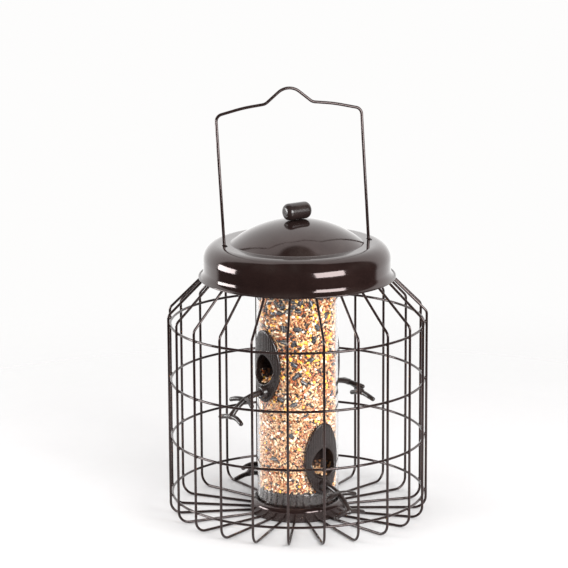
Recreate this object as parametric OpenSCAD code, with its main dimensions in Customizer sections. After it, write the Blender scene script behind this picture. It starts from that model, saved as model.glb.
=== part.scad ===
// Hanging tube seed feeder inside a squirrel guard of welded wire.
// Millimetres, +Z up, ground at z = 0, axis of the tube on Z.
// The upper seed ports face along X and the lower ones along Y.

/* [Cage] */
// Diameter of the cage, at the centres of its upright wires
cage_d = 221.5; // [184:0.5:270]
// Diameter of the cage's wire
wire_d = 2.2; // [1.8:0.1:2.8]
// Number of upright wires
wire_count = 23; // [19:1:27]
// Angle from +X to the first upright wire
wire_turn = 9; // [0:0.5:15]
// Height of the bend where the uprights turn in to the lid
shoulder_z = 176.5; // [147:0.5:215]
// Rise of the sloping wires above the horizontal, degrees
shoulder_slope = 45; // [40:1:48]
// Radius of the shoulder bend, to the wire's centre
shoulder_bend_r = 6; // [4:0.5:10]
// Radius of the bend at the foot of each upright, to the wire's centre
foot_bend_r = 10; // [6:0.5:12]
// Height of the lowest ring
ring_first_z = 17.5; // [16:0.5:22]
// How far the highest ring of the wall lies below the shoulder bend
ring_last_drop = 9; // [8:0.5:20]
// From a bail's leg out to the ring that gathers the wires under the lid, at its wire's centre
top_ring_out = 7.4; // [6.5:0.1:8]
// Diameter of the top ring's wire
top_ring_wire_d = 3; // [2.5:0.1:3.5]

/* [Base] */
// How far the base dish stands out round the tube
base_out = 6; // [5:0.5:9]
// Height of the base dish
base_h = 11.7; // [10:0.1:14]
// Radius of the base dish's upper edge
base_edge_r = 4; // [2:0.5:4]
// Depth of the well that the tube stands in
well_depth = 3; // [2:0.1:4]
// Thickness of the base dish's floor
base_floor = 1.6; // [1.2:0.1:2]
// Diameter of the screw that holds the plug to the base
base_screw_d = 4; // [3:0.1:5]

/* [Tube] */
// Outer diameter of the clear tube
tube_d = 70; // [64:0.5:84]
// Thickness of the clear tube's wall
tube_wall = 2; // [1.5:0.1:2.5]
// Height of the plug's ribbed band, from the floor of the well
plug_h = 14.3; // [12:0.1:16]
// Height of the cone on the plug, which sends seed out to the lower ports
cone_h = 10; // [8:0.5:12]
// Number of grooves round the plug
groove_count = 36; // [24:1:40]
// Gap between the plug and the tube
plug_gap = 0.2; // [0.1:0.05:0.4]
// Height of the seed above the shoulder bend
seed_rise = 22; // [18:1:50]

/* [Ports] */
// Height of the middle of the lower port plates
port_low_z = 53.5; // [45:0.5:64]
// Height of the middle of the upper port plate on -X
port_high_z = 134; // [112:0.5:140]
// How much lower the upper port plate on +X sits
port_step = 3; // [0:0.5:6]
// Width of a port plate, measured flat
plate_w = 34; // [30:0.5:40]
// Height of a port plate
plate_h = 63; // [60:0.5:66]
// Radius of a port plate's two tips
plate_tip_r = 10.5; // [8:0.5:12]
// How far a port plate stands out from the tube
plate_t = 2.2; // [2:0.1:4]
// Width of the mouth that birds feed from
mouth_w = 23; // [20:0.5:25]
// Height of the mouth
mouth_h = 26; // [24:0.5:28]
// How far the mouth's middle lies below the plate's middle
mouth_drop = 2.7; // [1:0.1:4]
// Height of the lip round the mouth's lower edge
lip_h = 1.5; // [1:0.1:2]
// Width of the lip
lip_w = 1.3; // [1:0.1:1.6]
// How far the hood behind the mouth reaches into the tube
hood_depth = 14; // [10:0.5:16]
// Thickness of the hood
hood_wall = 1.4; // [1:0.1:2]

/* [Perches] */
// How far a perch's boss lies below the plate's middle
boss_drop = 23; // [22:0.5:24.5]
// Diameter of the boss
boss_d = 11; // [9:0.5:12]
// How far the boss stands out from the plate
boss_h = 3.5; // [2:0.5:5]
// Diameter of the peg in the boss
peg_d = 4; // [3:0.1:5]
// Diameter of a perch's stem
stem_d = 4.8; // [4:0.1:5.5]
// Diameter of a perch's side twigs
twig_d = 4.2; // [3.5:0.1:4.6]
// Reach of the stem from its boss
stem_reach = 30.5; // [26:0.5:33]
// How far the stem drops along its reach
stem_drop = 15.5; // [12:0.5:17]
// Reach of each side twig
twig_reach = 16.5; // [12:0.5:18]

/* [Lid] */
// From a bail's leg out to the start of the lid's rounded shoulder
shoulder_out = 3.5; // [3.2:0.1:6]
// Thickness of the lid's sheet
lid_t = 1; // [0.8:0.1:1.4]
// Height of the lid's shoulder above its rim
lid_h = 28.8; // [27:0.1:34]
// Radius of the lid's shoulder
lid_round_r = 14; // [11:0.5:15]
// Radius of the flare at the rim
flare_r = 7; // [5:0.5:9]
// How far the flare turns outwards, degrees
flare_angle = 60; // [50:1:65]
// Diameter of the bead along the rim
bead_d = 1.6; // [1.4:0.1:2.4]
// How far the dome reaches out past the tube
dome_out = 21.5; // [16:0.5:26]
// Height of the dome above the shoulder
dome_h = 20; // [16:0.5:24]
// Gap between the rim and the sloping wires, measured upwards
rim_gap = 2.2; // [1:0.1:4]

/* [Knob] */
// Length of the knob
knob_l = 24.5; // [20:0.5:28]
// Diameter of the knob
knob_d = 14.5; // [12:0.5:16]
// Radius of the knob's ends
knob_end_r = 4.5; // [3:0.5:5.5]
// Angle of the knob from +X
knob_turn = -5; // [-90:1:90]
// Diameter of the knob's screw
knob_screw_d = 3.2; // [2.5:0.1:4]

/* [Bail] */
// Diameter of the bail's wire
bail_wire_d = 2.6; // [2.2:0.1:3]
// From the dome's foot out to the centre of a bail's leg
leg_out = 6.1; // [5.5:0.1:9]
// Angle from +X to the bail's hinge line
bail_turn = -26.4; // [-90:0.1:90]
// Height of the bail's corners above the lid's shoulder
bail_rise = 111.4; // [100:0.1:135]
// How far the bail leans back at rest, degrees
bail_lean = 3; // [1:0.5:4]
// How far the bail's legs lean to one side, degrees
bail_skew = 2.6; // [0:0.1:3]
// Slope of the bail's top bar, degrees
bar_slope = 0.9; // [0:0.1:2]
// Rise of the top bar from its corners to the hook's foot
bar_rise = 7.8; // [6:0.1:10]
// Width of the hook in the middle of the top bar
hook_w = 40.6; // [36:0.2:44]
// Height of the hook above its foot
hook_h = 12.7; // [10:0.1:14]
// Radius of the hook's crown
hook_r = 14; // [10:0.5:15]

/* [Fits] */
// Radial gap of a pin that turns in its eye
pin_gap = 0.08; // [0.04:0.01:0.1]
// Radial gap of a peg or screw in its hole
peg_gap = 0.05; // [0.02:0.01:0.1]
// Gap left between the seed and what holds it
seed_gap = 0.3; // [0.2:0.05:0.5]
// How far crossed wires bite into each other at a weld
weld_bite = 0.05; // [0.02:0.01:0.1]
// Gap between the tube's top and the lid that rests over it
seat_gap = 0.3; // [0.2:0.05:0.5]
// Gap round a leg of the bail in its slot in the lid
slot_gap = 0.7; // [0.5:0.1:1]
// How far short of the bar's underside the raised knob stops
travel_gap = 2; // [1:0.5:8]

/* [Hidden] */
$fn = 64;
// lets a cut run clear of the face it cuts
eps = 1;
// how far a wire's straights run into its bends, and how much larger a bend is
bend_lap = 0.1;
bend_swell = 0.02;

// radii that follow one another outwards from the tube
tube_r = tube_d / 2;
base_r = tube_r + base_out;
dome_r = tube_r + dome_out;
leg_x = dome_r + leg_out;
top_ring_r = leg_x + top_ring_out;

// cage
cage_r = cage_d / 2;
wire_pitch = 360 / wire_count;
ring_count = 4;
ring_pitch = (shoulder_z - ring_last_drop - ring_first_z) / (ring_count - 1);
ring_r = cage_r - wire_d + weld_bite;
spoke_end_r = base_r - weld_bite;
top_ring_offset = (wire_d + top_ring_wire_d) / 2 - weld_bite;
top_ring_foot_r = top_ring_r + top_ring_offset * sin(shoulder_slope);
top_ring_z = slope_z(top_ring_foot_r) - top_ring_offset * cos(shoulder_slope);
wire_end_r = top_ring_r;
// height of a sloping wire's centre where it is r from the axis
function slope_z(r) = shoulder_z + (cage_r - r) * tan(shoulder_slope);

// base and tube
well_z = base_h - well_depth;
bore_r = tube_r - tube_wall;
well_r = tube_r + 2;
hollow_h = well_z - base_floor;
hollow_r = base_r - 4;
plug_r = bore_r - plug_gap;
plug_top_z = well_z + plug_h;
groove_w = 0.8;
groove_depth = 1.2;
cone_tip_r = 3;
screw_head_h = 2.4;
washer_t = 0.8;
washer_w = 1.8;
base_screw_l = plug_h - 2;
knob_screw_l = 9;

// ports, numbered round the tube: two high on X, two low on Y
ports = [
    [0, port_high_z - port_step],
    [180, port_high_z],
    [90, port_low_z],
    [270, port_low_z]
];
plate_in_r = tube_r + peg_gap;
plate_r = tube_r + plate_t;
// radius of a plate's two long sides, which meet the tip arcs smoothly
plate_side_r = side_arc_r(plate_w / 2, plate_h / 2, plate_tip_r);
function side_arc_r(a, b, tip) = (a * a + (b - tip) * (b - tip) - tip * tip) / (2 * (a - tip));
mouth_r = mouth_w / 2;
mouth_arch_h = mouth_h - mouth_r;
hood_in_r = tube_r - hood_depth - tube_wall;
hole_gap = 0.15;
boss_r = plate_r + boss_h;
boss_root_r = tube_r + 1.2;

// perches
stem_bend_r = (stem_reach * stem_reach + stem_drop * stem_drop) / (2 * stem_drop);
stem_angle = asin(stem_reach / stem_bend_r);
mid_angle = asin(0.5 * stem_reach / stem_bend_r);
// a perch is this much thicker where its twigs branch off
knot_swell = 0.6;
mid_twig_out = 4.5;
mid_twig_drop = 2.2;
end_twig_out = 0.5;
end_twig_drop = 3.5;

// lid
rim_wall_r = leg_x + shoulder_out + lid_round_r;
rim_edge_r = rim_wall_r + flare_r * (1 - cos(flare_angle));
rim_z = slope_z(rim_edge_r) + wire_d / 2 / cos(shoulder_slope) + rim_gap + bead_d / 2;
lid_z = rim_z + lid_h;
dome_ball_r = (dome_r * dome_r + dome_h * dome_h) / (2 * dome_h);
dome_bend_r = 2.5;
dome_top_z = lid_z + dome_h;
dome_centre_z = dome_top_z - dome_ball_r;
// height of the dome's underside where it is r from the axis
function dome_under_z(r) = dome_centre_z + sqrt(pow(dome_ball_r - lid_t, 2) - r * r);
tube_top_z = dome_under_z(tube_r) - seat_gap;
seed_top_z = shoulder_z + seed_rise;
// the seed lies in five layers, parted a little below and above the hoods
notch_foot = mouth_drop + mouth_h / 2 + hood_wall + 2 * seed_gap;
notch_head = mouth_h / 2 - mouth_drop + hood_wall + 2 * seed_gap;
seed_levels = [
    plug_top_z + seed_gap,
    port_low_z - notch_foot,
    port_low_z + notch_head,
    port_high_z - port_step - notch_foot,
    port_high_z + notch_head,
    seed_top_z
];
knob_z = dome_top_z + knob_d / 2;
knob_foot_d = 8;
knob_washer_r = knob_screw_d / 2 + washer_w;
knob_washer_z = dome_under_z(knob_washer_r) - washer_t;

// bail, in its own upright plane with its hinge line at height 0
eye_d = bail_wire_d + 3;
eye_in_r = top_ring_r - top_ring_wire_d / 2 - 0.3;
eye_out_r = top_ring_r + 2.6;
hinge_z = top_ring_z - (top_ring_wire_d + eye_d) / 2 + 2 * weld_bite;
pin_end_r = eye_out_r + 1;
pin_bend_r = 3;
corner_bend_r = 6;
foot_r = 8;
bar_bend_r = 120;
lid_over_hinge = lid_z - hinge_z;
corner_over_hinge = lid_over_hinge + bail_rise;
// where the middle of the bail is at height h above its hinge line
function bail_mid(h) = -(h - lid_over_hinge) * tan(bail_skew);
bar_mid = bail_mid(corner_over_hinge);
bar_half = leg_x;
hook_flank = flank_angle(hook_w / 2, hook_h, hook_r, 45, 8);
// steepness of the hook's sides, found by repeating its own equation n times
function flank_angle(half, h, r, guess, n) =
    n == 0 ? guess : flank_angle(half, h, r, atan((h + r * (1 / cos(guess) - 1)) / half), n - 1);
hook_apex_h = hook_w / 2 * tan(hook_flank);

// how far the lid lifts, and the slots that let the bail swing all the way
lid_travel = min(
    hinge_z + (corner_over_hinge + bar_rise) * cos(bail_lean) - knob_z - knob_d / 2,
    bail_rise - 2 * corner_bend_r
) - travel_gap;
slot_r = bail_wire_d / 2 + slot_gap;
slot_back = lid_over_hinge * tan(bail_lean);
slot_front = slot_back - (lid_over_hinge + lid_travel) * tan(bail_lean);

// every node, in the order of assembly
function numbered(name, n) = [for (k = [1:n]) wire_name(name, k)];
function wire_name(name, k) = str(name, k < 10 ? "0" : "", k);

// colours
enamel = [0.16, 0.12, 0.11];
plastic = [0.23, 0.21, 0.22];
clear = [0.85, 0.9, 0.95, 0.3];
seed = [0.78, 0.6, 0.4];
steel = [0.7, 0.7, 0.72];

// ---- wire bent in the XY plane ----

function heading(p, i) = atan2(p[i + 1].y - p[i].y, p[i + 1].x - p[i].x);
function wrapped(t) = t > 180 ? t - 360 : t < -180 ? t + 360 : t;
function turn_at(p, i) = wrapped(heading(p, i) - heading(p, i - 1));
// length that the bend at corner i takes from each of its two straights
function trim_at(p, bends, i) =
    i == 0 || i == len(p) - 1 ? 0 : bends[i] * tan(abs(turn_at(p, i)) / 2);

// a straight runs a little way into the bend at each of its ends
module straight(p, bends, i, d) {
    from = i == 0 ? 0 : trim_at(p, bends, i) - bend_lap;
    to = i == len(p) - 2 ? 0 : trim_at(p, bends, i + 1) - bend_lap;
    translate([p[i].x, p[i].y, 0])
        rotate([0, 0, heading(p, i)])
            translate([from, 0, 0])
                rotate([0, 90, 0])
                    cylinder(h = norm(p[i + 1] - p[i]) - from - to, d = d);
}

module elbow(p, bends, i, d) {
    way_in = heading(p, i - 1);
    t = turn_at(p, i);
    side = sign(t);
    start = p[i] - trim_at(p, bends, i) * [cos(way_in), sin(way_in)];
    centre = start + side * bends[i] * [-sin(way_in), cos(way_in)];
    translate([centre.x, centre.y, 0])
        rotate([0, 0, side > 0 ? way_in - 90 : way_in + 90 + t])
            rotate_extrude(angle = abs(t))
                translate([bends[i], 0])
                    circle(d = d + bend_swell);
}

// wire through the points p, with a bend of radius bends[i] at each inner one
module bent_wire(p, bends, d) {
    union() {
        for (i = [0:len(p) - 2]) straight(p, bends, i, d);
        for (i = [1:len(p) - 2]) elbow(p, bends, i, d);
    }
}

// ---- shared shapes ----

module wire_ring(r, d) {
    rotate_extrude()
        translate([r, 0])
            circle(d = d);
}

// round bar from z = 0 up, with a ball end
module twig(length, d) {
    rotate_extrude() {
        square([d / 2, length - d / 2]);
        translate([0, length - d / 2])
            intersection() {
                circle(d = d);
                square([d / 2, d / 2]);
            }
    }
}

// twig from the point a to the point b
module twig_between(a, b, d) {
    v = b - a;
    translate(a)
        rotate([0, acos(v.z / norm(v)), atan2(v.y, v.x)])
            twig(norm(v), d);
}

// outline of a port plate: two long side arcs and two tip arcs, grown by g
module plate_outline(g = 0) {
    a = plate_w / 2 + g;
    b = plate_h / 2 + g;
    tip = plate_tip_r + g;
    side = plate_side_r + g;
    // the side arcs meet the tip arcs at this height
    meet = (b - tip) * side / (side - tip);
    intersection() {
        translate([side - a, 0]) circle(r = side, $fn = 180);
        translate([a - side, 0]) circle(r = side, $fn = 180);
        translate([-a, -meet]) square([2 * a, 2 * meet]);
    }
    // the tips are a little wider, so that they cross the side arcs cleanly
    for (s = [-1, 1])
        translate([0, s * (b - tip)])
            circle(r = tip + bend_swell);
}

// to the nearest thousandth, so that one arc ends exactly where the next begins
function snap(x) = round(1000 * x) / 1000;

// mouth: a half round below and a pointed arch above, grown by g
module mouth_outline(g = 0) {
    r = snap(mouth_r + g);
    arch = mouth_arch_h + g;
    arc = snap((r * r + arch * arch) / (2 * r));
    translate([0, mouth_r - mouth_h / 2]) {
        intersection() {
            circle(r = r);
            translate([-r, -r]) square([2 * r, r]);
        }
        intersection() {
            translate([arc - r, 0]) circle(r = arc);
            translate([r - arc, 0]) circle(r = arc);
            translate([-r, 0]) square([2 * r, arch]);
        }
    }
}

// carries a flat outline outwards along +X, from r0 to r1
module radial(r0, r1) {
    translate([r0, 0, 0])
        rotate([90, 0, 90])
            linear_extrude(height = r1 - r0)
                children();
}

// puts a piece of port k in its place round the tube
module at_port(k) {
    rotate([0, 0, ports[k - 1][0]])
        translate([0, 0, ports[k - 1][1]])
            children();
}

// tall cylinder about the tube's axis, centred on height 0
module core(r) {
    cylinder(h = 2 * plate_h, r = r, center = true, $fn = 128);
}

// ---- cage ----

module cage_wire(k) {
    path = [
        [spoke_end_r, wire_d / 2],
        [cage_r, wire_d / 2],
        [cage_r, shoulder_z],
        [wire_end_r, slope_z(wire_end_r)]
    ];
    color(enamel)
        rotate([0, 0, wire_turn + (k - 1) * wire_pitch])
            rotate([90, 0, 0])
                bent_wire(path, [0, foot_bend_r, shoulder_bend_r, 0], wire_d);
}

module cage_ring(k) {
    color(enamel)
        translate([0, 0, ring_first_z + (k - 1) * ring_pitch])
            wire_ring(ring_r, wire_d);
}

module top_ring() {
    color(enamel)
        translate([0, 0, top_ring_z])
            wire_ring(top_ring_r, top_ring_wire_d);
}

// eye under the top ring that the bail's end turns in; side is -1 or 1
module bail_eye(side) {
    color(enamel)
        translate([0, 0, hinge_z])
            rotate([0, 0, bail_turn])
                rotate([0, side * 90, 0])
                    translate([0, 0, eye_in_r])
                        difference() {
                            cylinder(h = eye_out_r - eye_in_r, d = eye_d);
                            translate([0, 0, -eps])
                                cylinder(h = eye_out_r - eye_in_r + 2 * eps, d = bail_wire_d + 2 * pin_gap);
                        }
}

// ---- base ----

module base_dish() {
    color(enamel)
        difference() {
            rotate_extrude($fn = 128) {
                square([base_r, base_h - base_edge_r]);
                square([base_r - base_edge_r, base_h]);
                translate([base_r - base_edge_r, base_h - base_edge_r])
                    circle(r = base_edge_r);
            }
            translate([0, 0, -eps])
                cylinder(h = hollow_h + eps, r = hollow_r, $fn = 128);
            translate([0, 0, well_z])
                cylinder(h = well_depth + eps, r = well_r, $fn = 128);
            cylinder(h = base_h, d = base_screw_d + 1);
        }
}

// screw that stands on its head, from z = 0 up
module screw(d, length, head_d) {
    cylinder(h = screw_head_h, d = head_d);
    cylinder(h = screw_head_h + length, d = d);
}

module washer(d) {
    difference() {
        cylinder(h = washer_t, r = d / 2 + washer_w);
        translate([0, 0, -eps])
            cylinder(h = washer_t + 2 * eps, d = d + 2 * peg_gap);
    }
}

module base_screw() {
    color(steel)
        translate([0, 0, hollow_h - washer_t - screw_head_h])
            screw(base_screw_d, washer_t + base_floor + base_screw_l, 1.8 * base_screw_d);
}

module base_washer() {
    color(steel)
        translate([0, 0, hollow_h - washer_t])
            washer(base_screw_d);
}

// ---- tube and its plug ----

// cone that sends seed outwards, grown sideways by g
module plug_cone(g = 0) {
    translate([0, 0, plug_top_z])
        cylinder(h = cone_h, r1 = plug_r - groove_depth + g, r2 = cone_tip_r + g);
}

module tube_plug() {
    color(plastic) {
        difference() {
            union() {
                translate([0, 0, well_z])
                    cylinder(h = plug_h, r = plug_r, $fn = 128);
                plug_cone();
            }
            for (k = [1:groove_count])
                rotate([0, 0, k * 360 / groove_count])
                    translate([plug_r - groove_depth, -groove_w / 2, well_z - eps])
                        cube([groove_depth + eps, groove_w, plug_h - groove_depth + eps]);
            translate([0, 0, well_z - eps])
                cylinder(h = base_screw_l + 2 * eps, d = base_screw_d + 2 * peg_gap);
        }
    }
}

module feed_tube() {
    color(clear)
        difference() {
            translate([0, 0, well_z])
                rotate([0, 0, 45])
                    cylinder(h = tube_top_z - well_z, r = tube_r, $fn = 128);
            translate([0, 0, well_z - eps])
                rotate([0, 0, 45])
                    cylinder(h = tube_top_z - well_z + 2 * eps, r = bore_r, $fn = 128);
            for (k = [1:len(ports)])
                at_port(k)
                    translate([0, 0, -mouth_drop])
                        radial(hood_in_r, tube_r + eps)
                            mouth_outline(hood_wall + hole_gap);
        }
}

// a layer of the seed inside the tube, clear of the plug and the hoods
module seed_layer(k) {
    foot = seed_levels[k - 1];
    head = seed_levels[k] - (k == len(seed_levels) - 1 ? 0 : seed_gap);
    color(seed)
        difference() {
            translate([0, 0, foot])
                rotate([0, 0, 45])
                    cylinder(h = head - foot, r = bore_r - seed_gap, $fn = 128);
            if (k == 1)
                translate([0, 0, seed_gap])
                    plug_cone(seed_gap);
            for (p = [1:len(ports)])
                if (ports[p - 1][1] > foot && ports[p - 1][1] < head)
                    at_port(p)
                        translate([0, 0, -mouth_drop])
                            radial(hood_in_r - seed_gap, tube_r + eps)
                                mouth_outline(hood_wall + seed_gap);
        }
}

// ---- ports and perches ----

module port_plate(k) {
    color(plastic)
        at_port(k)
            difference() {
                union() {
                    intersection() {
                        radial(hood_in_r, plate_r + eps) plate_outline();
                        difference() {
                            core(plate_r);
                            core(plate_in_r);
                        }
                    }
                    // lip round the lower half of the mouth
                    translate([0, 0, -mouth_drop])
                        radial(plate_in_r + 0.5, plate_r + lip_h)
                            intersection() {
                                mouth_outline(lip_w);
                                translate([-mouth_w, -mouth_h]) square([2 * mouth_w, mouth_h - 1]);
                            }
                    translate([0, 0, -boss_drop])
                        radial(boss_root_r, boss_r)
                            circle(d = boss_d);
                }
                translate([0, 0, -mouth_drop])
                    radial(hood_in_r, boss_r)
                        mouth_outline();
                translate([0, 0, -boss_drop])
                    radial(boss_root_r, boss_r + eps)
                        circle(r = peg_d / 2 + peg_gap);
            }
}

// hood through the tube's wall: it keeps rain out and seed from pouring through
module port_hood(k) {
    color(plastic)
        at_port(k)
            translate([0, 0, -mouth_drop])
                difference() {
                    intersection() {
                        radial(hood_in_r, tube_r + eps) mouth_outline(hood_wall);
                        core(tube_r);
                    }
                    radial(hood_in_r + hood_wall, tube_r + 2 * eps) mouth_outline();
                    // seed comes in through the open lower back
                    translate([hood_in_r - eps, -mouth_w, -mouth_h])
                        cube([hood_depth - hood_wall + eps, 2 * mouth_w, mouth_h - mouth_drop]);
                }
}

module perch(k) {
    // the stem is an arc that starts level and bends down
    mid = [boss_r + stem_bend_r * sin(mid_angle), 0, stem_bend_r * (cos(mid_angle) - 1)];
    end = [boss_r + stem_reach, 0, -stem_drop];
    color(plastic)
        at_port(k)
            translate([0, 0, -boss_drop]) {
                radial(boss_root_r + 2 * peg_gap, boss_r)
                    circle(d = peg_d);
                translate([boss_r, 0, -stem_bend_r])
                    rotate([90, 0, 0])
                        rotate([0, 0, 90 - stem_angle])
                            rotate_extrude(angle = stem_angle, $fn = 96)
                                translate([stem_bend_r, 0])
                                    circle(d = stem_d);
                for (at = [mid, end])
                    translate(at)
                        sphere(d = stem_d + knot_swell);
                for (s = [-1, 1]) {
                    twig_between(mid, mid + [mid_twig_out, s * twig_reach, -mid_twig_drop], twig_d);
                    twig_between(end, end + [end_twig_out, s * twig_reach, -end_twig_drop], twig_d);
                }
            }
}

// ---- lid ----

// flat half section of everything under the lid's surface, measured from the height of
// its shoulder; g is how far inside the surface it stays and foot how far down it goes
module under_lid(g, foot) {
    wall = rim_wall_r - g;
    flare_at = -lid_h + flare_r * sin(flare_angle);
    ball_at = dome_h - dome_ball_r;
    // centre of the hollow bend between dome and shoulder
    bend_at = [sqrt(pow(dome_ball_r + dome_bend_r, 2) - pow(dome_bend_r - ball_at, 2)), dome_bend_r];
    to_ball = ([0, ball_at] - bend_at) / (dome_ball_r + dome_bend_r);
    translate([0, foot])
        square([wall, -lid_round_r - foot]);
    translate([0, foot])
        square([rim_wall_r - lid_round_r, -g - foot]);
    translate([rim_wall_r - lid_round_r, -lid_round_r])
        circle(r = lid_round_r - g);
    intersection() {
        translate([0, ball_at])
            circle(r = dome_ball_r - g, $fn = 180);
        translate([0, -lid_round_r])
            square([dome_ball_r, lid_round_r + dome_h]);
    }
    difference() {
        polygon([
            bend_at,
            bend_at + (dome_bend_r + 2 * lid_t) * to_ball,
            bend_at - [0, dome_bend_r + 2 * lid_t]
        ]);
        // the bend is cut a little wider, so that it crosses the dome's edge cleanly
        translate(bend_at)
            circle(r = dome_bend_r + g + bend_swell);
    }
    difference() {
        translate([0, foot])
            square([rim_edge_r, flare_at - foot]);
        translate([rim_wall_r + flare_r, flare_at])
            circle(r = flare_r + g);
    }
}

module lid_section() {
    difference() {
        under_lid(0, -lid_h);
        under_lid(lid_t, -lid_h - eps);
    }
    translate([rim_edge_r, -lid_h])
        circle(d = bead_d);
}

// slot for one leg of the bail, long enough for its swing with the lid raised
module leg_slot(side) {
    rotate([0, 0, bail_turn])
        translate([side * leg_x, 0, lid_z - lid_round_r]) {
            for (y = [slot_back, slot_front])
                translate([0, y, 0])
                    cylinder(h = 2 * lid_round_r, r = slot_r);
            translate([-slot_r, slot_front, 0])
                cube([2 * slot_r, slot_back - slot_front, 2 * lid_round_r]);
        }
}

module lid_shell() {
    color(enamel)
        difference() {
            translate([0, 0, lid_z])
                rotate_extrude($fn = 180) lid_section();
            leg_slot(-1);
            leg_slot(1);
            translate([0, 0, lid_z])
                cylinder(h = 2 * dome_h, d = knob_screw_d + 0.4);
        }
}

module lid_knob() {
    color(enamel)
        difference() {
            union() {
                translate([0, 0, knob_z])
                    rotate([0, 0, knob_turn])
                        rotate([0, 90, 0])
                            rotate_extrude()
                                knob_section();
                translate([0, 0, dome_top_z])
                    cylinder(h = knob_d / 2, d = knob_foot_d);
            }
            translate([0, 0, dome_top_z - eps])
                cylinder(h = knob_screw_l + eps, d = knob_screw_d + 2 * peg_gap);
        }
}

// half of the knob's long section, with the knob's axis on Y
module knob_section() {
    in_r = knob_d / 2 - knob_end_r;
    in_h = knob_l / 2 - knob_end_r;
    translate([0, -in_h]) square([knob_d / 2, 2 * in_h]);
    translate([0, -knob_l / 2]) square([in_r, knob_l]);
    for (s = [-1, 1])
        intersection() {
            translate([in_r, s * in_h]) circle(r = knob_end_r);
            translate([0, -knob_l]) square([knob_d, 2 * knob_l]);
        }
}

module knob_screw() {
    color(steel)
        translate([0, 0, knob_washer_z - screw_head_h])
            screw(knob_screw_d, knob_screw_l - 1, 1.9 * knob_screw_d);
}

module knob_washer() {
    color(steel)
        translate([0, 0, knob_washer_z])
            washer(knob_screw_d);
}

// ---- bail ----

module bail() {
    h = corner_over_hinge;
    slope = tan(bar_slope);
    hook = hook_w / 2;
    hook_base = h + bar_rise;
    left_leg = bail_mid(0) - leg_x;
    right_leg = bail_mid(0) + leg_x;
    path = [
        [-pin_end_r, 0],
        [left_leg, 0],
        [bar_mid - bar_half, h - bar_half * slope],
        [bar_mid - 0.62 * bar_half, h + 0.72 * bar_rise - 0.62 * bar_half * slope],
        [bar_mid - hook, hook_base - hook * slope],
        [bar_mid, hook_base + hook_apex_h],
        [bar_mid + hook, hook_base + hook * slope],
        [bar_mid + 0.62 * bar_half, h + 0.72 * bar_rise + 0.62 * bar_half * slope],
        [bar_mid + bar_half, h + bar_half * slope],
        [right_leg, 0],
        [pin_end_r, 0]
    ];
    bends = [
        0, pin_bend_r, corner_bend_r, bar_bend_r, foot_r, hook_r,
        foot_r, bar_bend_r, corner_bend_r, pin_bend_r, 0
    ];
    color(enamel)
        translate([0, 0, hinge_z])
            rotate([0, 0, bail_turn])
                rotate([90 - bail_lean, 0, 0])
                    bent_wire(path, bends, bail_wire_d);
}

// ---- the nodes ----

for (k = [1:wire_count])
    cage_wire(k);
for (k = [1:ring_count])
    cage_ring(k);
top_ring();
bail_eye(-1);  // bail_eye_left
bail_eye(1);  // bail_eye_right
base_dish();
base_screw();
base_washer();
tube_plug();
feed_tube();
for (k = [1:len(seed_levels) - 1])
    seed_layer(k);
for (k = [1:len(ports)])
    port_plate(k);
for (k = [1:len(ports)])
    port_hood(k);
for (k = [1:len(ports)])
    perch(k);
lid_shell();
lid_knob();
knob_screw();
knob_washer();
bail();
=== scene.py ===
"""Dresses the frame of a hanging seed feeder: loose seed, ribbed ports, twig perches, welds and finishes."""

import math

import bpy
import numpy as np
from mathutils import Matrix, Vector


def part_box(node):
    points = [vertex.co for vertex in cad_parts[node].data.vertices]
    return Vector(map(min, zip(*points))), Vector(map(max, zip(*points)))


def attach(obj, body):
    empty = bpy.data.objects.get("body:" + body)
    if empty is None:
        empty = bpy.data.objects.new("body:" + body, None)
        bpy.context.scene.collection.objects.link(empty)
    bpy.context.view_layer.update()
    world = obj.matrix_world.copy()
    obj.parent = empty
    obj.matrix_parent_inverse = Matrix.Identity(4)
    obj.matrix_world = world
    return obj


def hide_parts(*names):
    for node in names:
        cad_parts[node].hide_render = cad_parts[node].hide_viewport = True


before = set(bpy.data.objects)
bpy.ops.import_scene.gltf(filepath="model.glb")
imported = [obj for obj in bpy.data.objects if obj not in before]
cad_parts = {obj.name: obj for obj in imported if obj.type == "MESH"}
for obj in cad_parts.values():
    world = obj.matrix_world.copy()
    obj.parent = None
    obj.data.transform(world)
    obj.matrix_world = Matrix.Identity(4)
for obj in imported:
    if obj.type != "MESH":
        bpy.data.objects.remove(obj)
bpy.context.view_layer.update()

bl_info = {
    "name": "Caged Seed Feeder",
    "version": (1, 0, 0),
    "blender": (4, 5, 0),
    "location": "3D View > Sidebar > Feeder",
    "description": "Makes the feeder's seed, ports, perches, welds, finishes and stage",
    "category": "Object",
}

TURN = 2 * math.pi

# each port's number, and its angle round the tube
PORTS = (("01", 0.0), ("02", math.pi), ("03", math.pi / 2), ("04", 3 * math.pi / 2))


def low(name):
    """Lowest corner of a node's box."""
    return np.array(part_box(name)[0])


def high(name):
    """Highest corner of a node's box."""
    return np.array(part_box(name)[1])


def plate_height(number):
    """Height of the middle of a port's plate."""
    name = "port_plate_" + number
    return float(low(name)[2] + high(name)[2]) / 2


TUBE_R = float(high("feed_tube")[0])
TUBE_WALL = 0.002
BORE_R = TUBE_R - TUBE_WALL
# the mouth is a half circle below and a pointed arch above, a little below the middle of its plate
MOUTH_R = 0.0115
MOUTH_H = 0.026
MOUTH_DROP = 0.0027
# the middle of the mouth's half circle, measured from the middle of the plate
ARC_RISE = MOUTH_R - MOUTH_H / 2 - MOUTH_DROP
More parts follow.
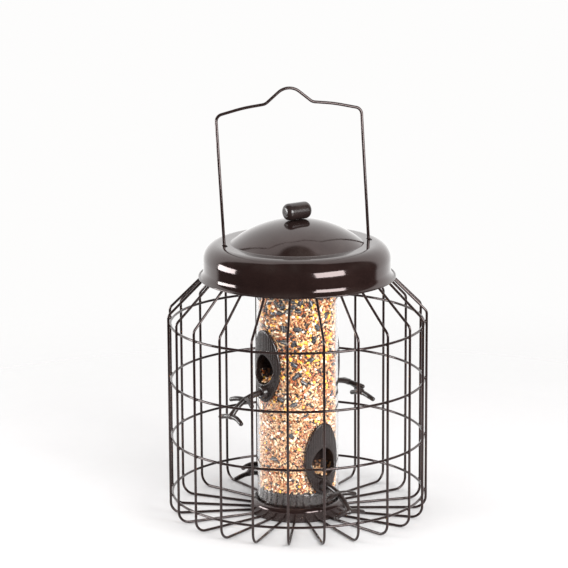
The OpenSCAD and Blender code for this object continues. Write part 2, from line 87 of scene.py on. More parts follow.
# the collar round a perch's peg: how far it stands out of the plate, how far below its middle, and its radius
BOSS_OUT = 0.0035
BOSS_DROP = 0.023
BOSS_R = 0.0055
PLATE_OUT = float(high("port_plate_01")[0]) - TUBE_R - BOSS_OUT
PLUG_LOW = float(low("tube_plug")[2])
SEED_NODES = [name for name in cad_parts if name.startswith("seed_")]
SEED_LOW = min(float(low(name)[2]) for name in SEED_NODES)
SEED_HIGH = max(float(high(name)[2]) for name in SEED_NODES)
# direction of the camera's side of the tube, where most of the sunflower seed has gathered at the top
FRONT_TURN = math.atan2(-0.792, -0.610)
FLOOR_Z = -0.0002
WIRE_R = 0.0011


# ---------------------------------------------------------------- settings


class FeederSeedSettings(bpy.types.PropertyGroup):
    """Sizes and mix of the loose seed."""

    pitch: bpy.props.FloatProperty(
        name="Grain Spacing", description="Distance between small grains at the wall", default=0.00215, unit="LENGTH"
    )
    level: bpy.props.FloatProperty(
        name="Seed Level", description="Height of the top of the seed", default=SEED_HIGH, unit="LENGTH"
    )
    mix: bpy.props.IntProperty(name="Mix", description="Starting number of the random mix", default=11)
    pale: bpy.props.FloatVectorProperty(
        name="Pale Millet", description="Colour of pale millet", default=(0.58, 0.325, 0.155), subtype="COLOR"
    )
    maize: bpy.props.FloatVectorProperty(
        name="Maize", description="Colour of cracked maize", default=(0.85, 0.42, 0.03), subtype="COLOR"
    )


class FeederPortSettings(bpy.types.PropertyGroup):
    """Sizes of the port plates and perches."""

    round_edge: bpy.props.FloatProperty(
        name="Rounded Edge", description="Radius of a plate's front edge", default=0.0007, unit="LENGTH"
    )
    rib_pitch: bpy.props.FloatProperty(
        name="Rib Spacing", description="Distance between a plate's upright ribs", default=0.0021, unit="LENGTH"
    )
    lip: bpy.props.FloatProperty(
        name="Lip", description="How far the lip under the mouth stands out", default=0.0015, unit="LENGTH"
    )
    knobbly: bpy.props.FloatProperty(
        name="Knobbly", description="How uneven the perches' bark is, as a share of their radius", default=0.07
    )


class FeederFinishSettings(bpy.types.PropertyGroup):
    """Colours of the finishes."""

    enamel: bpy.props.FloatVectorProperty(
        name="Enamel", description="Colour of the enamelled metal", default=(0.0105, 0.0056, 0.005), subtype="COLOR"
    )
    plastic: bpy.props.FloatVectorProperty(
        name="Plastic", description="Colour of the moulded plastic", default=(0.0135, 0.0086, 0.0078), subtype="COLOR"
    )
    wear: bpy.props.FloatProperty(
        name="Wear", description="How much bare metal shows along edges", default=0.07, min=0, max=1
    )
    dust: bpy.props.FloatProperty(
        name="Dust", description="How much dust lies on upward faces", default=0.04, min=0, max=1
    )


class FeederStageSettings(bpy.types.PropertyGroup):
    """Camera, lights and floor."""

    distance: bpy.props.FloatProperty(
        name="Camera Distance", description="From the camera to the feeder's axis", default=2.568, unit="LENGTH"
    )
    azimuth: bpy.props.FloatProperty(
        name="Camera Azimuth",
        description="Camera's angle round the feeder",
        default=math.radians(-37.6),
        unit="ROTATION",
    )
    elevation: bpy.props.FloatProperty(
        name="Camera Elevation",
        description="Camera's angle above level",
        default=math.radians(13.36),
        unit="ROTATION",
    )
    key_power: bpy.props.FloatProperty(name="Key Power", description="Right softbox's power in watts", default=26.0)
    side_power: bpy.props.FloatProperty(name="Side Power", description="Left softbox's power in watts", default=16.0)
    room: bpy.props.FloatProperty(name="Room Light", description="Brightness of the room's even light", default=0.9)
    floor: bpy.props.FloatVectorProperty(
        name="Floor", description="Colour of the floor", default=(0.56, 0.554, 0.557), subtype="COLOR"
    )


# ---------------------------------------------------------------- surfaces


def grid_faces(rows, columns, wrap_rows=False, wrap_columns=True, start=0):
    """Quads of a grid of points numbered row by row, with their faces to the right of the rows' direction."""
    r = np.arange(rows if wrap_rows else rows - 1)
    c = np.arange(columns if wrap_columns else columns - 1)
    r, c = np.meshgrid(r, c, indexing="ij")
    r1, c1 = (r + 1) % rows, (c + 1) % columns
    quads = np.stack([r * columns + c, r * columns + c1, r1 * columns + c1, r1 * columns + c], -1)
    return quads.reshape(-1, 4) + start


class Surface:
    """Gathers grids and fans of points as whole arrays, and makes one closed mesh of them."""

    def __init__(self):
        self.points, self.quads, self.triangles, self.values = [], [], [], []
        self.count = 0

    def take(self, points, values=None):
        """Adds points, and a value for each, and gives the number of the first."""
        points = np.asarray(points, float).reshape(-1, 3)
        first = self.count
        self.points.append(points)
        self.values.append(np.zeros((len(points), 3)) if values is None else np.asarray(values, float).reshape(-1, 3))
        self.count += len(points)
        return first

    def grid(self, points, values=None, wrap_rows=False, wrap_columns=True, caps=False, flip=False):
        """Adds a grid of points, rows x columns x 3. Caps close the first and last rows at their middles."""
        rows, columns = points.shape[:2]
        first = self.take(points, values)
        quads = grid_faces(rows, columns, wrap_rows, wrap_columns, first)
        self.quads.append(quads[:, ::-1] if flip else quads)
        if caps:
            value = None if values is None else np.asarray(values, float).reshape(rows, columns, 3)
            for row, turned in ((0, True), (rows - 1, False)):
                middle = self.take(points[row].mean(0), None if value is None else value[row].mean(0))
                a = np.arange(columns)
                ring = first + row * columns
                fan = np.stack([ring + a, ring + (a + 1) % columns, np.full(columns, middle)], -1)
                self.triangles.append(fan[:, ::-1] if turned != flip else fan)
        return first

    def copies(self, points, triangles, turns, scales, places, values=None):
        """Adds many copies of one small closed shape: point = place + turn * (scale * point)."""
        n, m = len(places), len(points)
        moved = np.einsum("nij,nkj->nki", turns, scales[:, None, :] * points[None]) + places[:, None, :]
        first = self.take(moved, None if values is None else np.repeat(values, m, axis=0))
        self.triangles.append((triangles[None] + first + m * np.arange(n)[:, None, None]).reshape(-1, 3))

    def make(self, name, material, body, replaces=()):
        """Makes the object, smooth, at the origin, riding on its body."""
        points = np.concatenate(self.points)
        quads = np.concatenate(self.quads) if self.quads else np.zeros((0, 4), int)
        triangles = np.concatenate(self.triangles) if self.triangles else np.zeros((0, 3), int)
        mesh = bpy.data.meshes.new(name)
        mesh.vertices.add(len(points))
        mesh.vertices.foreach_set("co", points.astype(np.float32).ravel())
        corners = np.concatenate([quads.ravel(), triangles.ravel()]).astype(np.int32)
        totals = np.concatenate([np.full(len(quads), 4), np.full(len(triangles), 3)]).astype(np.int32)
        starts = np.concatenate([[0], np.cumsum(totals)[:-1]]).astype(np.int32)
        mesh.loops.add(len(corners))
        mesh.loops.foreach_set("vertex_index", corners)
        mesh.polygons.add(len(totals))
        mesh.polygons.foreach_set("loop_start", starts)
        mesh.polygons.foreach_set("use_smooth", np.ones(len(totals), bool))
        spot = mesh.attributes.new("spot", "FLOAT_VECTOR", "POINT")
        spot.data.foreach_set("vector", np.concatenate(self.values).astype(np.float32).ravel())
        mesh.update(calc_edges=True)
        mesh.validate()
        mesh.materials.append(material)
        piece = bpy.data.objects.new(name, mesh)
        bpy.context.scene.collection.objects.link(piece)
        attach(piece, body)
        if replaces:
            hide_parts(*replaces)


def turned(points, angle, height=0.0):
    """Points turned about the tube's axis and raised."""
    c, s = math.cos(angle), math.sin(angle)
    x, y, z = points[..., 0], points[..., 1], points[..., 2]
    return np.stack([c * x - s * y, s * x + c * y, z + height], -1)


def smooth_step(x, a, b):
    """0 below a, 1 above b and an S-curve between."""
    t = np.clip((x - a) / (b - a), 0, 1)
    return t * t * (3 - 2 * t)


def along(path, radii, sides=16):
    """Ring of points round each point of a path. Each frame is set from one fixed direction, upward unless the path
    starts steep.
    """
    path = np.asarray(path, float)
    ahead = np.gradient(path, axis=0)
    ahead /= np.linalg.norm(ahead, axis=1, keepdims=True)
    side = np.cross(ahead, (0.0, 0.0, 1.0) if abs(ahead[0, 2]) < 0.9 else (1.0, 0.0, 0.0))
    side /= np.linalg.norm(side, axis=1, keepdims=True)
    other = np.cross(ahead, side)
    a = np.linspace(0, TURN, sides, endpoint=False)
    radii = np.asarray(radii, float)
    radii = radii[:, None] if radii.ndim == 1 else radii
    reach = radii[..., None] * (np.cos(a)[None, :, None] * side[:, None] + np.sin(a)[None, :, None] * other[:, None])
    return path[:, None] + reach


def ball_ended(path, radius, steps=6):
    """Carries a path's two ends to rounded tips: extra points and the radius at every point."""
    path = np.asarray(path, float)
    t = np.linspace(0, math.pi / 2, steps)[1:]
    start, end = path[0] - path[1], path[-1] - path[-2]
    start /= np.linalg.norm(start)
    end /= np.linalg.norm(end)
    head = path[0] + start * (radius[0] * np.sin(t[::-1]))[:, None] * 0.98
    tail = path[-1] + end * (radius[-1] * np.sin(t))[:, None] * 0.98
    r = np.concatenate([radius[0] * np.cos(t[::-1]) + 1e-5, radius, radius[-1] * np.cos(t) + 1e-5])
    return np.concatenate([head, path, tail]), r


def octa_ball():
    """A ball of 32 triangles: the octahedron with each face cut in four."""
    p = [(1, 0, 0), (-1, 0, 0), (0, 1, 0), (0, -1, 0), (0, 0, 1), (0, 0, -1)]
    faces = [(0, 2, 4), (2, 1, 4), (1, 3, 4), (3, 0, 4), (2, 0, 5), (1, 2, 5), (3, 1, 5), (0, 3, 5)]
    middles, cut = {}, []

    def middle(a, b):
        key = (min(a, b), max(a, b))
        if key not in middles:
            v = np.add(p[a], p[b])
            middles[key] = len(p)
            p.append(tuple(v / np.linalg.norm(v)))
        return middles[key]

    for a, b, c in faces:
        ab, bc, ca = middle(a, b), middle(b, c), middle(c, a)
        cut += [(a, ab, ca), (ab, b, bc), (ca, bc, c), (ab, bc, ca)]
    return np.array(p, float), np.array(cut)


def spindle(rings=4, sides=6, fullness=0.75):
    """A closed grain along X: a turned shape whose radius is cos(angle) ** fullness, pointed at both ends."""
    t = np.linspace(-math.pi / 2, math.pi / 2, rings + 2)[1:-1]
    a = np.linspace(0, TURN, sides, endpoint=False)
    radius = np.cos(t) ** fullness
    body = np.stack(
        [
            np.repeat(np.sin(t)[:, None], sides, 1),
            radius[:, None] * np.cos(a)[None],
            radius[:, None] * np.sin(a)[None],
        ],
        -1,
    ).reshape(-1, 3)
    points = np.concatenate([body, [[-1, 0, 0], [1, 0, 0]]])
    quads = grid_faces(rings, sides)
    triangles = [quads[:, [0, 1, 2]], quads[:, [0, 2, 3]]]
    k = np.arange(sides)
    first, last = rings * sides, rings * sides + 1
    end = (rings - 1) * sides
    triangles.append(np.stack([k, np.full(sides, first), (k + 1) % sides], -1))
    triangles.append(np.stack([end + k, end + (k + 1) % sides, np.full(sides, last)], -1))
    triangles = np.concatenate(triangles)
    # faces outward: the signed volume is positive
    a0, b0, c0 = points[triangles[:, 0]], points[triangles[:, 1]], points[triangles[:, 2]]
    if np.einsum("ij,ij->i", a0, np.cross(b0, c0)).sum() < 0:
        triangles = triangles[:, ::-1]
    return points, triangles


# ---------------------------------------------------------------- node helpers


def feed(tree, socket, value):
    """Links an input to another node's output, or sets its value."""
    if isinstance(value, bpy.types.NodeSocket):
        tree.links.new(value, socket)
    elif socket.type == "RGBA":
        socket.default_value = (*value, 1.0)[:4]
    else:
        socket.default_value = value


def put(tree, kind, **settings):
    """Adds a node. Names of inputs get a value or a link, and anything else is a property of the node."""
    node = tree.nodes.new(kind)
    inputs = settings.pop("inputs", {})
    for name, value in settings.items():
        setattr(node, name, value)
    for name, value in inputs.items():
        feed(tree, node.inputs[name], value)
    return node


def maths(tree, operation, *values, clamp=False):
    """A maths node's output."""
    node = put(tree, "ShaderNodeMath", operation=operation, use_clamp=clamp)
    for socket, value in zip(node.inputs, values, strict=False):
        feed(tree, socket, value)
    return node.outputs[0]


def blend_colours(tree, share, a, b):
    """A colour mix's output."""
    node = put(tree, "ShaderNodeMix", data_type="RGBA", clamp_factor=True)
    for number, value in ((0, share), (6, a), (7, b)):
        feed(tree, node.inputs[number], value)
    return node.outputs[2]


def noise(tree, place, scale, detail, **more):
    """A noise pattern's value at each place."""
    inputs = {"Vector": place, "Scale": scale, "Detail": detail, **more}
    return put(tree, "ShaderNodeTexNoise", inputs=inputs).outputs[0]


def bumps(tree, height, depth, strength=1.0, **more):
    """A normal tilted by a height that changes over the surface."""
    inputs = {"Height": height, "Strength": strength, "Distance": depth, **more}
    return put(tree, "ShaderNodeBump", inputs=inputs).outputs[0]


def split(tree, vector):
    """The three parts of a vector, by name."""
    return put(tree, "ShaderNodeSeparateXYZ", inputs={"Vector": vector}).outputs


def own_spot(tree):
    """The three values that the mesh carries at each of its points."""
    return put(tree, "ShaderNodeAttribute", attribute_name="spot").outputs["Vector"]


def between(tree, value, low_in, high_in, low_out=0.0, high_out=1.0):
    """A value carried smoothly from one range to another."""
    node = put(
        tree,
        "ShaderNodeMapRange",
        interpolation_type="SMOOTHSTEP",
        inputs={"Value": value, "From Min": low_in, "From Max": high_in, "To Min": low_out, "To Max": high_out},
    )
    return node.outputs[0]


def node_group(name, inputs, outputs, build):
    """A named group of nodes, made once. Build gets the tree, its inputs and a function that sets an output."""
    if name in bpy.data.node_groups:
        return bpy.data.node_groups[name]
    tree = bpy.data.node_groups.new(name, "ShaderNodeTree")
    for socket_name, kind, default in inputs:
        socket = tree.interface.new_socket(name=socket_name, in_out="INPUT", socket_type=kind)
        if default is not None:
            socket.default_value = default
    for socket_name, kind in outputs:
        tree.interface.new_socket(name=socket_name, in_out="OUTPUT", socket_type=kind)
    start, end = tree.nodes.new("NodeGroupInput"), tree.nodes.new("NodeGroupOutput")

    def give(socket_name, value):
        tree.links.new(value, end.inputs[socket_name])

    build(tree, {s.name: s for s in start.outputs if s.name}, give)
    return tree


def use_group(tree, group, **inputs):
    """Places a group in a tree, with its inputs set or linked."""
    node = put(tree, "ShaderNodeGroup", node_tree=group)
    for name, value in inputs.items():
        feed(tree, node.inputs[name.replace("_", " ")], value)
    return node


VECTOR, NUMBER, COLOUR = "NodeSocketVector", "NodeSocketFloat", "NodeSocketColor"


def wear_group():
    """Bare patches along sharp edges: where the surface is pointed, broken up by noise."""

    def build(tree, given, give):
        pointed = put(tree, "ShaderNodeNewGeometry").outputs["Pointiness"]
        edge = between(tree, pointed, 0.515, 0.6)
        broken = between(tree, noise(tree, given["Place"], given["Patches"], 6.0, Roughness=0.7), 0.42, 0.62)
        give("Mask", maths(tree, "MULTIPLY", maths(tree, "MULTIPLY", edge, broken), given["Amount"], clamp=True))

    return node_group(
        "Edge Wear",
        [("Place", VECTOR, None), ("Patches", NUMBER, 400.0), ("Amount", NUMBER, 0.3)],
        [("Mask", NUMBER)],
        build,
    )


def dust_group():
    """Dust that settles on faces that look up, in soft patches."""

    def build(tree, given, give):
        normal = put(tree, "ShaderNodeNewGeometry").outputs["Normal"]
        lies = between(tree, split(tree, normal)["Z"], 0.1, 0.95)
        soft = noise(tree, given["Place"], 45.0, 5.0)
        specks = noise(tree, given["Place"], 2600.0, 2.0)
        patches = maths(tree, "MULTIPLY", between(tree, soft, 0.35, 0.75), between(tree, specks, 0.4, 0.7, 0.5, 1.0))
        give("Mask", maths(tree, "MULTIPLY", maths(tree, "MULTIPLY", lies, patches), given["Amount"], clamp=True))

    return node_group(
        "Settled Dust",
        [("Place", VECTOR, None), ("Amount", NUMBER, 0.1)],
        [("Mask", NUMBER)],
        build,
    )


def ripple_group():
    """Two sizes of gentle unevenness in a surface: the slow sag of a coat and its fine peel."""

    def build(tree, given, give):
        slow = noise(tree, given["Place"], given["Slow Size"], 2.0)
        fine = noise(tree, given["Place"], given["Fine Size"], 3.0)
        sagged = bumps(tree, slow, given["Slow Depth"])
        give("Normal", bumps(tree, fine, given["Fine Depth"], Normal=sagged))
        give("Fine", fine)

    return node_group(
        "Coat Ripple",
        [
            ("Place", VECTOR, None),
            ("Slow Size", NUMBER, 40.0),
            ("Slow Depth", NUMBER, 0.0001),
            ("Fine Size", NUMBER, 900.0),
            ("Fine Depth", NUMBER, 0.00001),
        ],
        [("Normal", VECTOR), ("Fine", NUMBER)],
        build,
    )


def mottle_group():
    """Slow change of colour between two shades, with finer flecks on it."""

    def build(tree, given, give):
        slow = noise(tree, given["Place"], given["Size"], 4.0)
        fine = noise(tree, given["Place"], maths(tree, "MULTIPLY", given["Size"], 9.0), 3.0)
        share = maths(tree, "ADD", maths(tree, "MULTIPLY", slow, 0.65), maths(tree, "MULTIPLY", fine, 0.35))
        give("Colour", blend_colours(tree, between(tree, share, 0.35, 0.65), given["First"], given["Second"]))

    return node_group(
        "Mottle",
        [
            ("Place", VECTOR, None),
            ("Size", NUMBER, 60.0),
            ("First", COLOUR, (0.5, 0.5, 0.5, 1)),
            ("Second", COLOUR, (0.6, 0.6, 0.6, 1)),
        ],
        [("Colour", COLOUR)],
        build,
    )


def seed_colour_group():
    """Each grain's own shade, from a number that all its points share, with a darker germ end and fine husk lines."""

    def build(tree, given, give):
        parts = split(tree, given["Grain"])
        own, end = parts["X"], parts["Y"]
        shade = blend_colours(tree, between(tree, own, 0.0, 0.7), given["First"], given["Second"])
        shade = blend_colours(tree, between(tree, own, 0.72, 0.98), shade, given["Third"])
        husk = noise(tree, given["Place"], 1500.0, 3.0)
        shade = blend_colours(tree, maths(tree, "MULTIPLY", husk, 0.35), shade, given["Third"])
        germ = maths(tree, "MULTIPLY", between(tree, end, 0.72, 1.0), given["Germ"])
        give("Colour", blend_colours(tree, germ, shade, (0.12, 0.05, 0.02)))
        give("Husk", husk)

    return node_group(
        "Grain Colour",
        [
            ("Place", VECTOR, None),
            ("Grain", VECTOR, None),
            ("First", COLOUR, (0.8, 0.6, 0.4, 1)),
            ("Second", COLOUR, (0.7, 0.5, 0.3, 1)),
            ("Third", COLOUR, (0.5, 0.3, 0.1, 1)),
            ("Germ", NUMBER, 0.4),
        ],
        [("Colour", COLOUR), ("Husk", NUMBER)],
        build,
    )


def new_material(name):
    """An empty node material with its shader, its tree and the object's own coordinates."""
    material = bpy.data.materials.new(name)
    material.use_nodes = True
    tree = material.node_tree
    tree.nodes.clear()
    shader = tree.nodes.new("ShaderNodeBsdfPrincipled")
    out = tree.nodes.new("ShaderNodeOutputMaterial")
    tree.links.new(shader.outputs[0], out.inputs[0])
    place = put(tree, "ShaderNodeTexCoord").outputs["Object"]
    return material, tree, shader, place


def join(tree, value, shader, name):
    """Links a value to the shader's input."""
    tree.links.new(value, shader.inputs[name])


# ---------------------------------------------------------------- materials


def enamel_material(finish):
    """Glossy dark brown enamel on steel: slow sag, fine peel, a little dust and bare metal at the sharpest edges."""
    if "Enamel" in bpy.data.materials:
        return bpy.data.materials["Enamel"]
    material, tree, shader, place = new_material("Enamel")
    deep = tuple(finish.enamel)
    lighter = tuple(1.35 * c for c in deep)
    colour = use_group(tree, mottle_group(), Place=place, Size=55.0, First=deep, Second=lighter).outputs["Colour"]
    worn = use_group(tree, wear_group(), Place=place, Patches=520.0, Amount=finish.wear).outputs["Mask"]
    dust = use_group(tree, dust_group(), Place=place, Amount=finish.dust).outputs["Mask"]
    colour = blend_colours(tree, worn, colour, (0.3, 0.28, 0.26))
    colour = blend_colours(tree, dust, colour, (0.42, 0.38, 0.34))
    ripple = use_group(
        tree, ripple_group(), Place=place, Slow_Size=38.0, Slow_Depth=0.00004, Fine_Size=1100.0, Fine_Depth=0.000004
    )
    rough = maths(tree, "ADD", between(tree, ripple.outputs["Fine"], 0.3, 0.7, 0.07, 0.13), dust)
    rough = maths(tree, "ADD", rough, maths(tree, "MULTIPLY", worn, 0.4))
    join(tree, colour, shader, "Base Color")
    join(tree, rough, shader, "Roughness")
    join(tree, ripple.outputs["Normal"], shader, "Normal")
    shader.inputs["IOR"].default_value = 1.5
    shader.inputs["Specular Tint"].default_value = (1.0, 0.83, 0.81, 1.0)
    shader.inputs["Coat Weight"].default_value = 0.08
    shader.inputs["Coat Roughness"].default_value = 0.03
    return material


def plastic_material(finish, name, ribbed=False):
    """Satin moulded plastic with a fine tool grain. Ribbed plates carry upright ribs across the plate's own width, with
    painted shade darkening the grooves between them.
    """
    if name in bpy.data.materials:
        return bpy.data.materials[name]
    material, tree, shader, place = new_material(name)
    deep = tuple(finish.plastic)
    colour = use_group(
        tree, mottle_group(), Place=place, Size=90.0, First=deep, Second=tuple(1.5 * c for c in deep)
    ).outputs["Colour"]
    worn = use_group(tree, wear_group(), Place=place, Patches=700.0, Amount=0.35).outputs["Mask"]
    dust = use_group(tree, dust_group(), Place=place, Amount=finish.dust).outputs["Mask"]
    colour = blend_colours(tree, worn, colour, (0.07, 0.055, 0.05))
    colour = blend_colours(tree, dust, colour, (0.4, 0.33, 0.26))
    ripple = use_group(
        tree, ripple_group(), Place=place, Slow_Size=70.0, Slow_Depth=0.0001, Fine_Size=2600.0, Fine_Depth=0.00001
    )
    normal = ripple.outputs["Normal"]
    rough = maths(tree, "ADD", between(tree, ripple.outputs["Fine"], 0.3, 0.7, 0.2, 0.3), dust)
    if ribbed:
        parts = split(tree, own_spot(tree))
        wave = maths(tree, "SINE", maths(tree, "MULTIPLY", parts["X"], TURN))
        normal = bumps(tree, maths(tree, "MULTIPLY", wave, parts["Z"]), 0.00016, Normal=normal)
        # painted shade: the colour darkens in the grooves between the ribs, where shade falls
        groove = maths(tree, "MULTIPLY", between(tree, wave, -1.0, -0.4, 0.5, 0.0), parts["Z"])
        colour = blend_colours(tree, groove, colour, tuple(0.4 * c for c in deep))
    join(tree, colour, shader, "Base Color")
    join(tree, rough, shader, "Roughness")
    join(tree, normal, shader, "Normal")
    shader.inputs["IOR"].default_value = 1.5
    return material


def clear_material():
    """Clear extruded tube: faint draw lines along it, a few rubbed marks, and light let through to what it holds."""
    material, tree, shader, place = new_material("Clear Tube")
    parts = split(tree, place)
    drawn = {"X": parts["X"], "Y": parts["Y"], "Z": maths(tree, "MULTIPLY", parts["Z"], 0.02)}
    lines = noise(tree, put(tree, "ShaderNodeCombineXYZ", inputs=drawn).outputs[0], 260.0, 3.0)
    marks = noise(tree, place, 180.0, 6.0)
    normal = bumps(tree, lines, 0.00004, 0.3)
    rough = between(tree, marks, 0.45, 0.75, 0.0, 0.09)
    tint = blend_colours(tree, between(tree, marks, 0.4, 0.8), (0.985, 0.985, 0.98), (0.95, 0.94, 0.92))
    shadow = put(tree, "ShaderNodeLightPath").outputs["Is Shadow Ray"]
    join(tree, tint, shader, "Base Color")
    join(tree, rough, shader, "Roughness")
    join(tree, normal, shader, "Normal")
    join(tree, maths(tree, "SUBTRACT", 1.0, maths(tree, "MULTIPLY", shadow, 0.9)), shader, "Alpha")
    shader.inputs["Transmission Weight"].default_value = 1.0
    shader.inputs["IOR"].default_value = 1.46
    return material


def zinc_material():
    """Bright zinc plating on steel: fine turning lines, soft cloudy tone and dull spots."""
    material, tree, shader, place = new_material("Zinc Plate")
    cloud = use_group(
        tree, mottle_group(), Place=place, Size=160.0, First=(0.62, 0.62, 0.64), Second=(0.48, 0.47, 0.45)
    ).outputs["Colour"]
    worn = use_group(tree, wear_group(), Place=place, Patches=900.0, Amount=0.5).outputs["Mask"]
    ripple = use_group(
        tree, ripple_group(), Place=place, Slow_Size=300.0, Slow_Depth=0.00003, Fine_Size=4000.0, Fine_Depth=0.000006
    )
    join(tree, blend_colours(tree, worn, cloud, (0.8, 0.8, 0.82)), shader, "Base Color")
    join(tree, between(tree, ripple.outputs["Fine"], 0.3, 0.7, 0.24, 0.42), shader, "Roughness")
    join(tree, ripple.outputs["Normal"], shader, "Normal")
    shader.inputs["Metallic"].default_value = 1.0
    return material


def grain_material(name, first, second, third, germ, rough):
    """A seed's skin: its own shade, husk lines and a soft shine."""
    material, tree, shader, place = new_material(name)
    grain = own_spot(tree)
    colour = use_group(
        tree, seed_colour_group(), Place=place, Grain=grain, First=first, Second=second, Third=third, Germ=germ
    )
    normal = bumps(tree, colour.outputs["Husk"], 0.0001, 0.5)
    join(tree, colour.outputs["Colour"], shader, "Base Color")
    join(tree, between(tree, colour.outputs["Husk"], 0.3, 0.7, rough, rough + 0.15), shader, "Roughness")
    join(tree, normal, shader, "Normal")
    return material


def sunflower_material():
    """Black sunflower hull with pale stripes that run along one end."""
    material, tree, shader, place = new_material("Sunflower Hull")
    parts = split(tree, own_spot(tree))
    wave = maths(tree, "SINE", maths(tree, "MULTIPLY", parts["Z"], 5 * TURN))
    striped = maths(tree, "MULTIPLY", between(tree, wave, 0.55, 0.9), between(tree, parts["X"], 0.62, 0.8))
    cloud = noise(tree, place, 900.0, 4.0)
    dark = blend_colours(tree, between(tree, cloud, 0.35, 0.7), (0.012, 0.012, 0.016), (0.05, 0.05, 0.062))
    join(tree, blend_colours(tree, striped, dark, (0.26, 0.24, 0.22)), shader, "Base Color")
    join(tree, between(tree, cloud, 0.3, 0.7, 0.3, 0.5), shader, "Roughness")
    join(tree, bumps(tree, wave, 0.00015, 0.3), shader, "Normal")
    return material


def core_material():
    """Packed grain seen deep between the loose seeds: cells of tan and brown, with painted shade in the gaps between
    them.
    """
    material, tree, shader, place = new_material("Packed Grain")
    cells = put(tree, "ShaderNodeTexVoronoi", inputs={"Vector": place, "Scale": 430.0})
    shade = split(tree, cells.outputs["Color"])["X"]
    colour = blend_colours(tree, shade, (0.3, 0.13, 0.05), (0.17, 0.06, 0.02))
    # painted shade: the gaps between the cells are darkened where shade falls between grains
    gap = between(tree, cells.outputs["Distance"], 0.25, 0.6)
    join(tree, blend_colours(tree, gap, colour, (0.025, 0.012, 0.008)), shader, "Base Color")
    join(tree, bumps(tree, cells.outputs["Distance"], -0.001), shader, "Normal")
    join(tree, between(tree, shade, 0.0, 1.0, 0.55, 0.75), shader, "Roughness")
    return material


# ---------------------------------------------------------------- outlines of the ports


def mouth_outline(grow, count):
    """Points round the mouth, from its side through its lower half circle and up over its pointed arch."""
    r = MOUTH_R + grow
    arch = MOUTH_H - MOUTH_R + grow
    arc = (r * r + arch * arch) / (2 * r)
    half = count // 2
    t = np.linspace(math.pi, TURN, half, endpoint=False)
    low_part = np.stack([r * np.cos(t), r * np.sin(t)], -1)
    sweep = math.asin(arch / arc)
    quarter = (count - half) // 2
    t = np.linspace(0, sweep, quarter, endpoint=False)
    right = np.stack([r - arc + arc * np.cos(t), arc * np.sin(t)], -1)
    t = np.linspace(sweep, 0, count - half - quarter, endpoint=False)
    left = np.stack([arc - r - arc * np.cos(t), arc * np.sin(t)], -1)
    points = np.concatenate([low_part, right, left])
    points[:, 1] += ARC_RISE
    return points


def plate_outline(half_width, half_height, tip, count, shape):
    """Points round a plate in the same directions as the shape's points: two long side arcs and two tip arcs."""
    side = (half_width**2 + (half_height - tip) ** 2 - tip**2) / (2 * (half_width - tip))
    centre = np.array([0.0, shape[:, 1].mean()])
    way = shape - centre
    way /= np.linalg.norm(way, axis=1, keepdims=True)
    reach = np.full(count, 1e9)
    inside_tip = np.zeros(count, bool)

    def ray(middle, radius):
        """How far each ray goes to a circle, and whether it meets the circle at all."""
        c = np.array(middle) - centre
        b = way @ c
        d = b * b - c @ c + radius * radius
        return b + np.sqrt(np.maximum(d, 0)), d > 0

    # the tip's circle counts where a ray meets the plate's own tip, and the long side's circle everywhere else
    meet = (half_height - tip) * side / (side - tip)
    for sign in (1, -1):
        t, met = ray((0.0, sign * (half_height - tip)), tip)
        ok = met & (sign * (centre[1] + t * way[:, 1]) >= meet)
        reach = np.where(ok, t, reach)
        inside_tip |= ok
    for sign in (1, -1):
        t, met = ray((sign * (half_width - side), 0.0), side)
        ok = ~inside_tip & (sign * t * way[:, 0] >= -1e-9) & (t < reach)
        reach = np.where(ok, t, reach)
    return centre + reach[:, None] * way


# ---------------------------------------------------------------- pieces


class FEEDER_OT_guard(bpy.types.Operator):
    """Weld beads where the guard's wires cross its rings, its top ring and the base dish"""

    bl_idname = "feeder.guard"
    bl_label = "Guard Welds"

    def execute(self, context):
        """Ellipsoids laid between the two wires of each crossing, a little flattened, each slightly different."""
        rng = np.random.default_rng(5)
        finish = context.scene.feeder_finish
        uprights = [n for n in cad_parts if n.startswith("cage_wire_")]
        rings = sorted(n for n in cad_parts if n.startswith("cage_ring_"))
        turns = []
        for name in uprights:
            middle = (low(name) + high(name)) / 2
            turns.append(math.atan2(middle[1], middle[0]))
        turns = np.array(turns)
        spots, tall = [], []
        for name in rings:
            lo, hi = low(name), high(name)
            ring_r = float(hi[0] - WIRE_R)
            height = float(lo[2] + hi[2]) / 2
            spots.append((ring_r + WIRE_R, height))
            tall.append((0.0012, 0.0017, 0.0015))
        lo, hi = low("top_ring"), high("top_ring")
        spots.append((float(hi[0]) - 0.0005, float(hi[2]) - 0.0002))
        tall.append((0.0013, 0.0016, 0.0014))
        spots.append((float(high("base_dish")[0]) + 0.0001, WIRE_R))
        tall.append((0.0012, 0.0019, 0.0009))
        surface = Surface()
        points, triangles = octa_ball()
        for (radius, height), size in zip(spots, tall, strict=True):
            n = len(turns)
            places = np.stack([radius * np.cos(turns), radius * np.sin(turns), np.full(n, height)], -1)
            c, s, z, o = np.cos(turns), np.sin(turns), np.zeros(n), np.ones(n)
            matrices = np.stack([np.stack([c, -s, z], -1), np.stack([s, c, z], -1), np.stack([z, z, o], -1)], 1)
            scales = np.array(size) * rng.uniform(0.85, 1.15, (n, 3))
            surface.copies(points, triangles, matrices, scales, places)
        surface.make("guard_welds", enamel_material(finish), "cage")
        return {"FINISHED"}


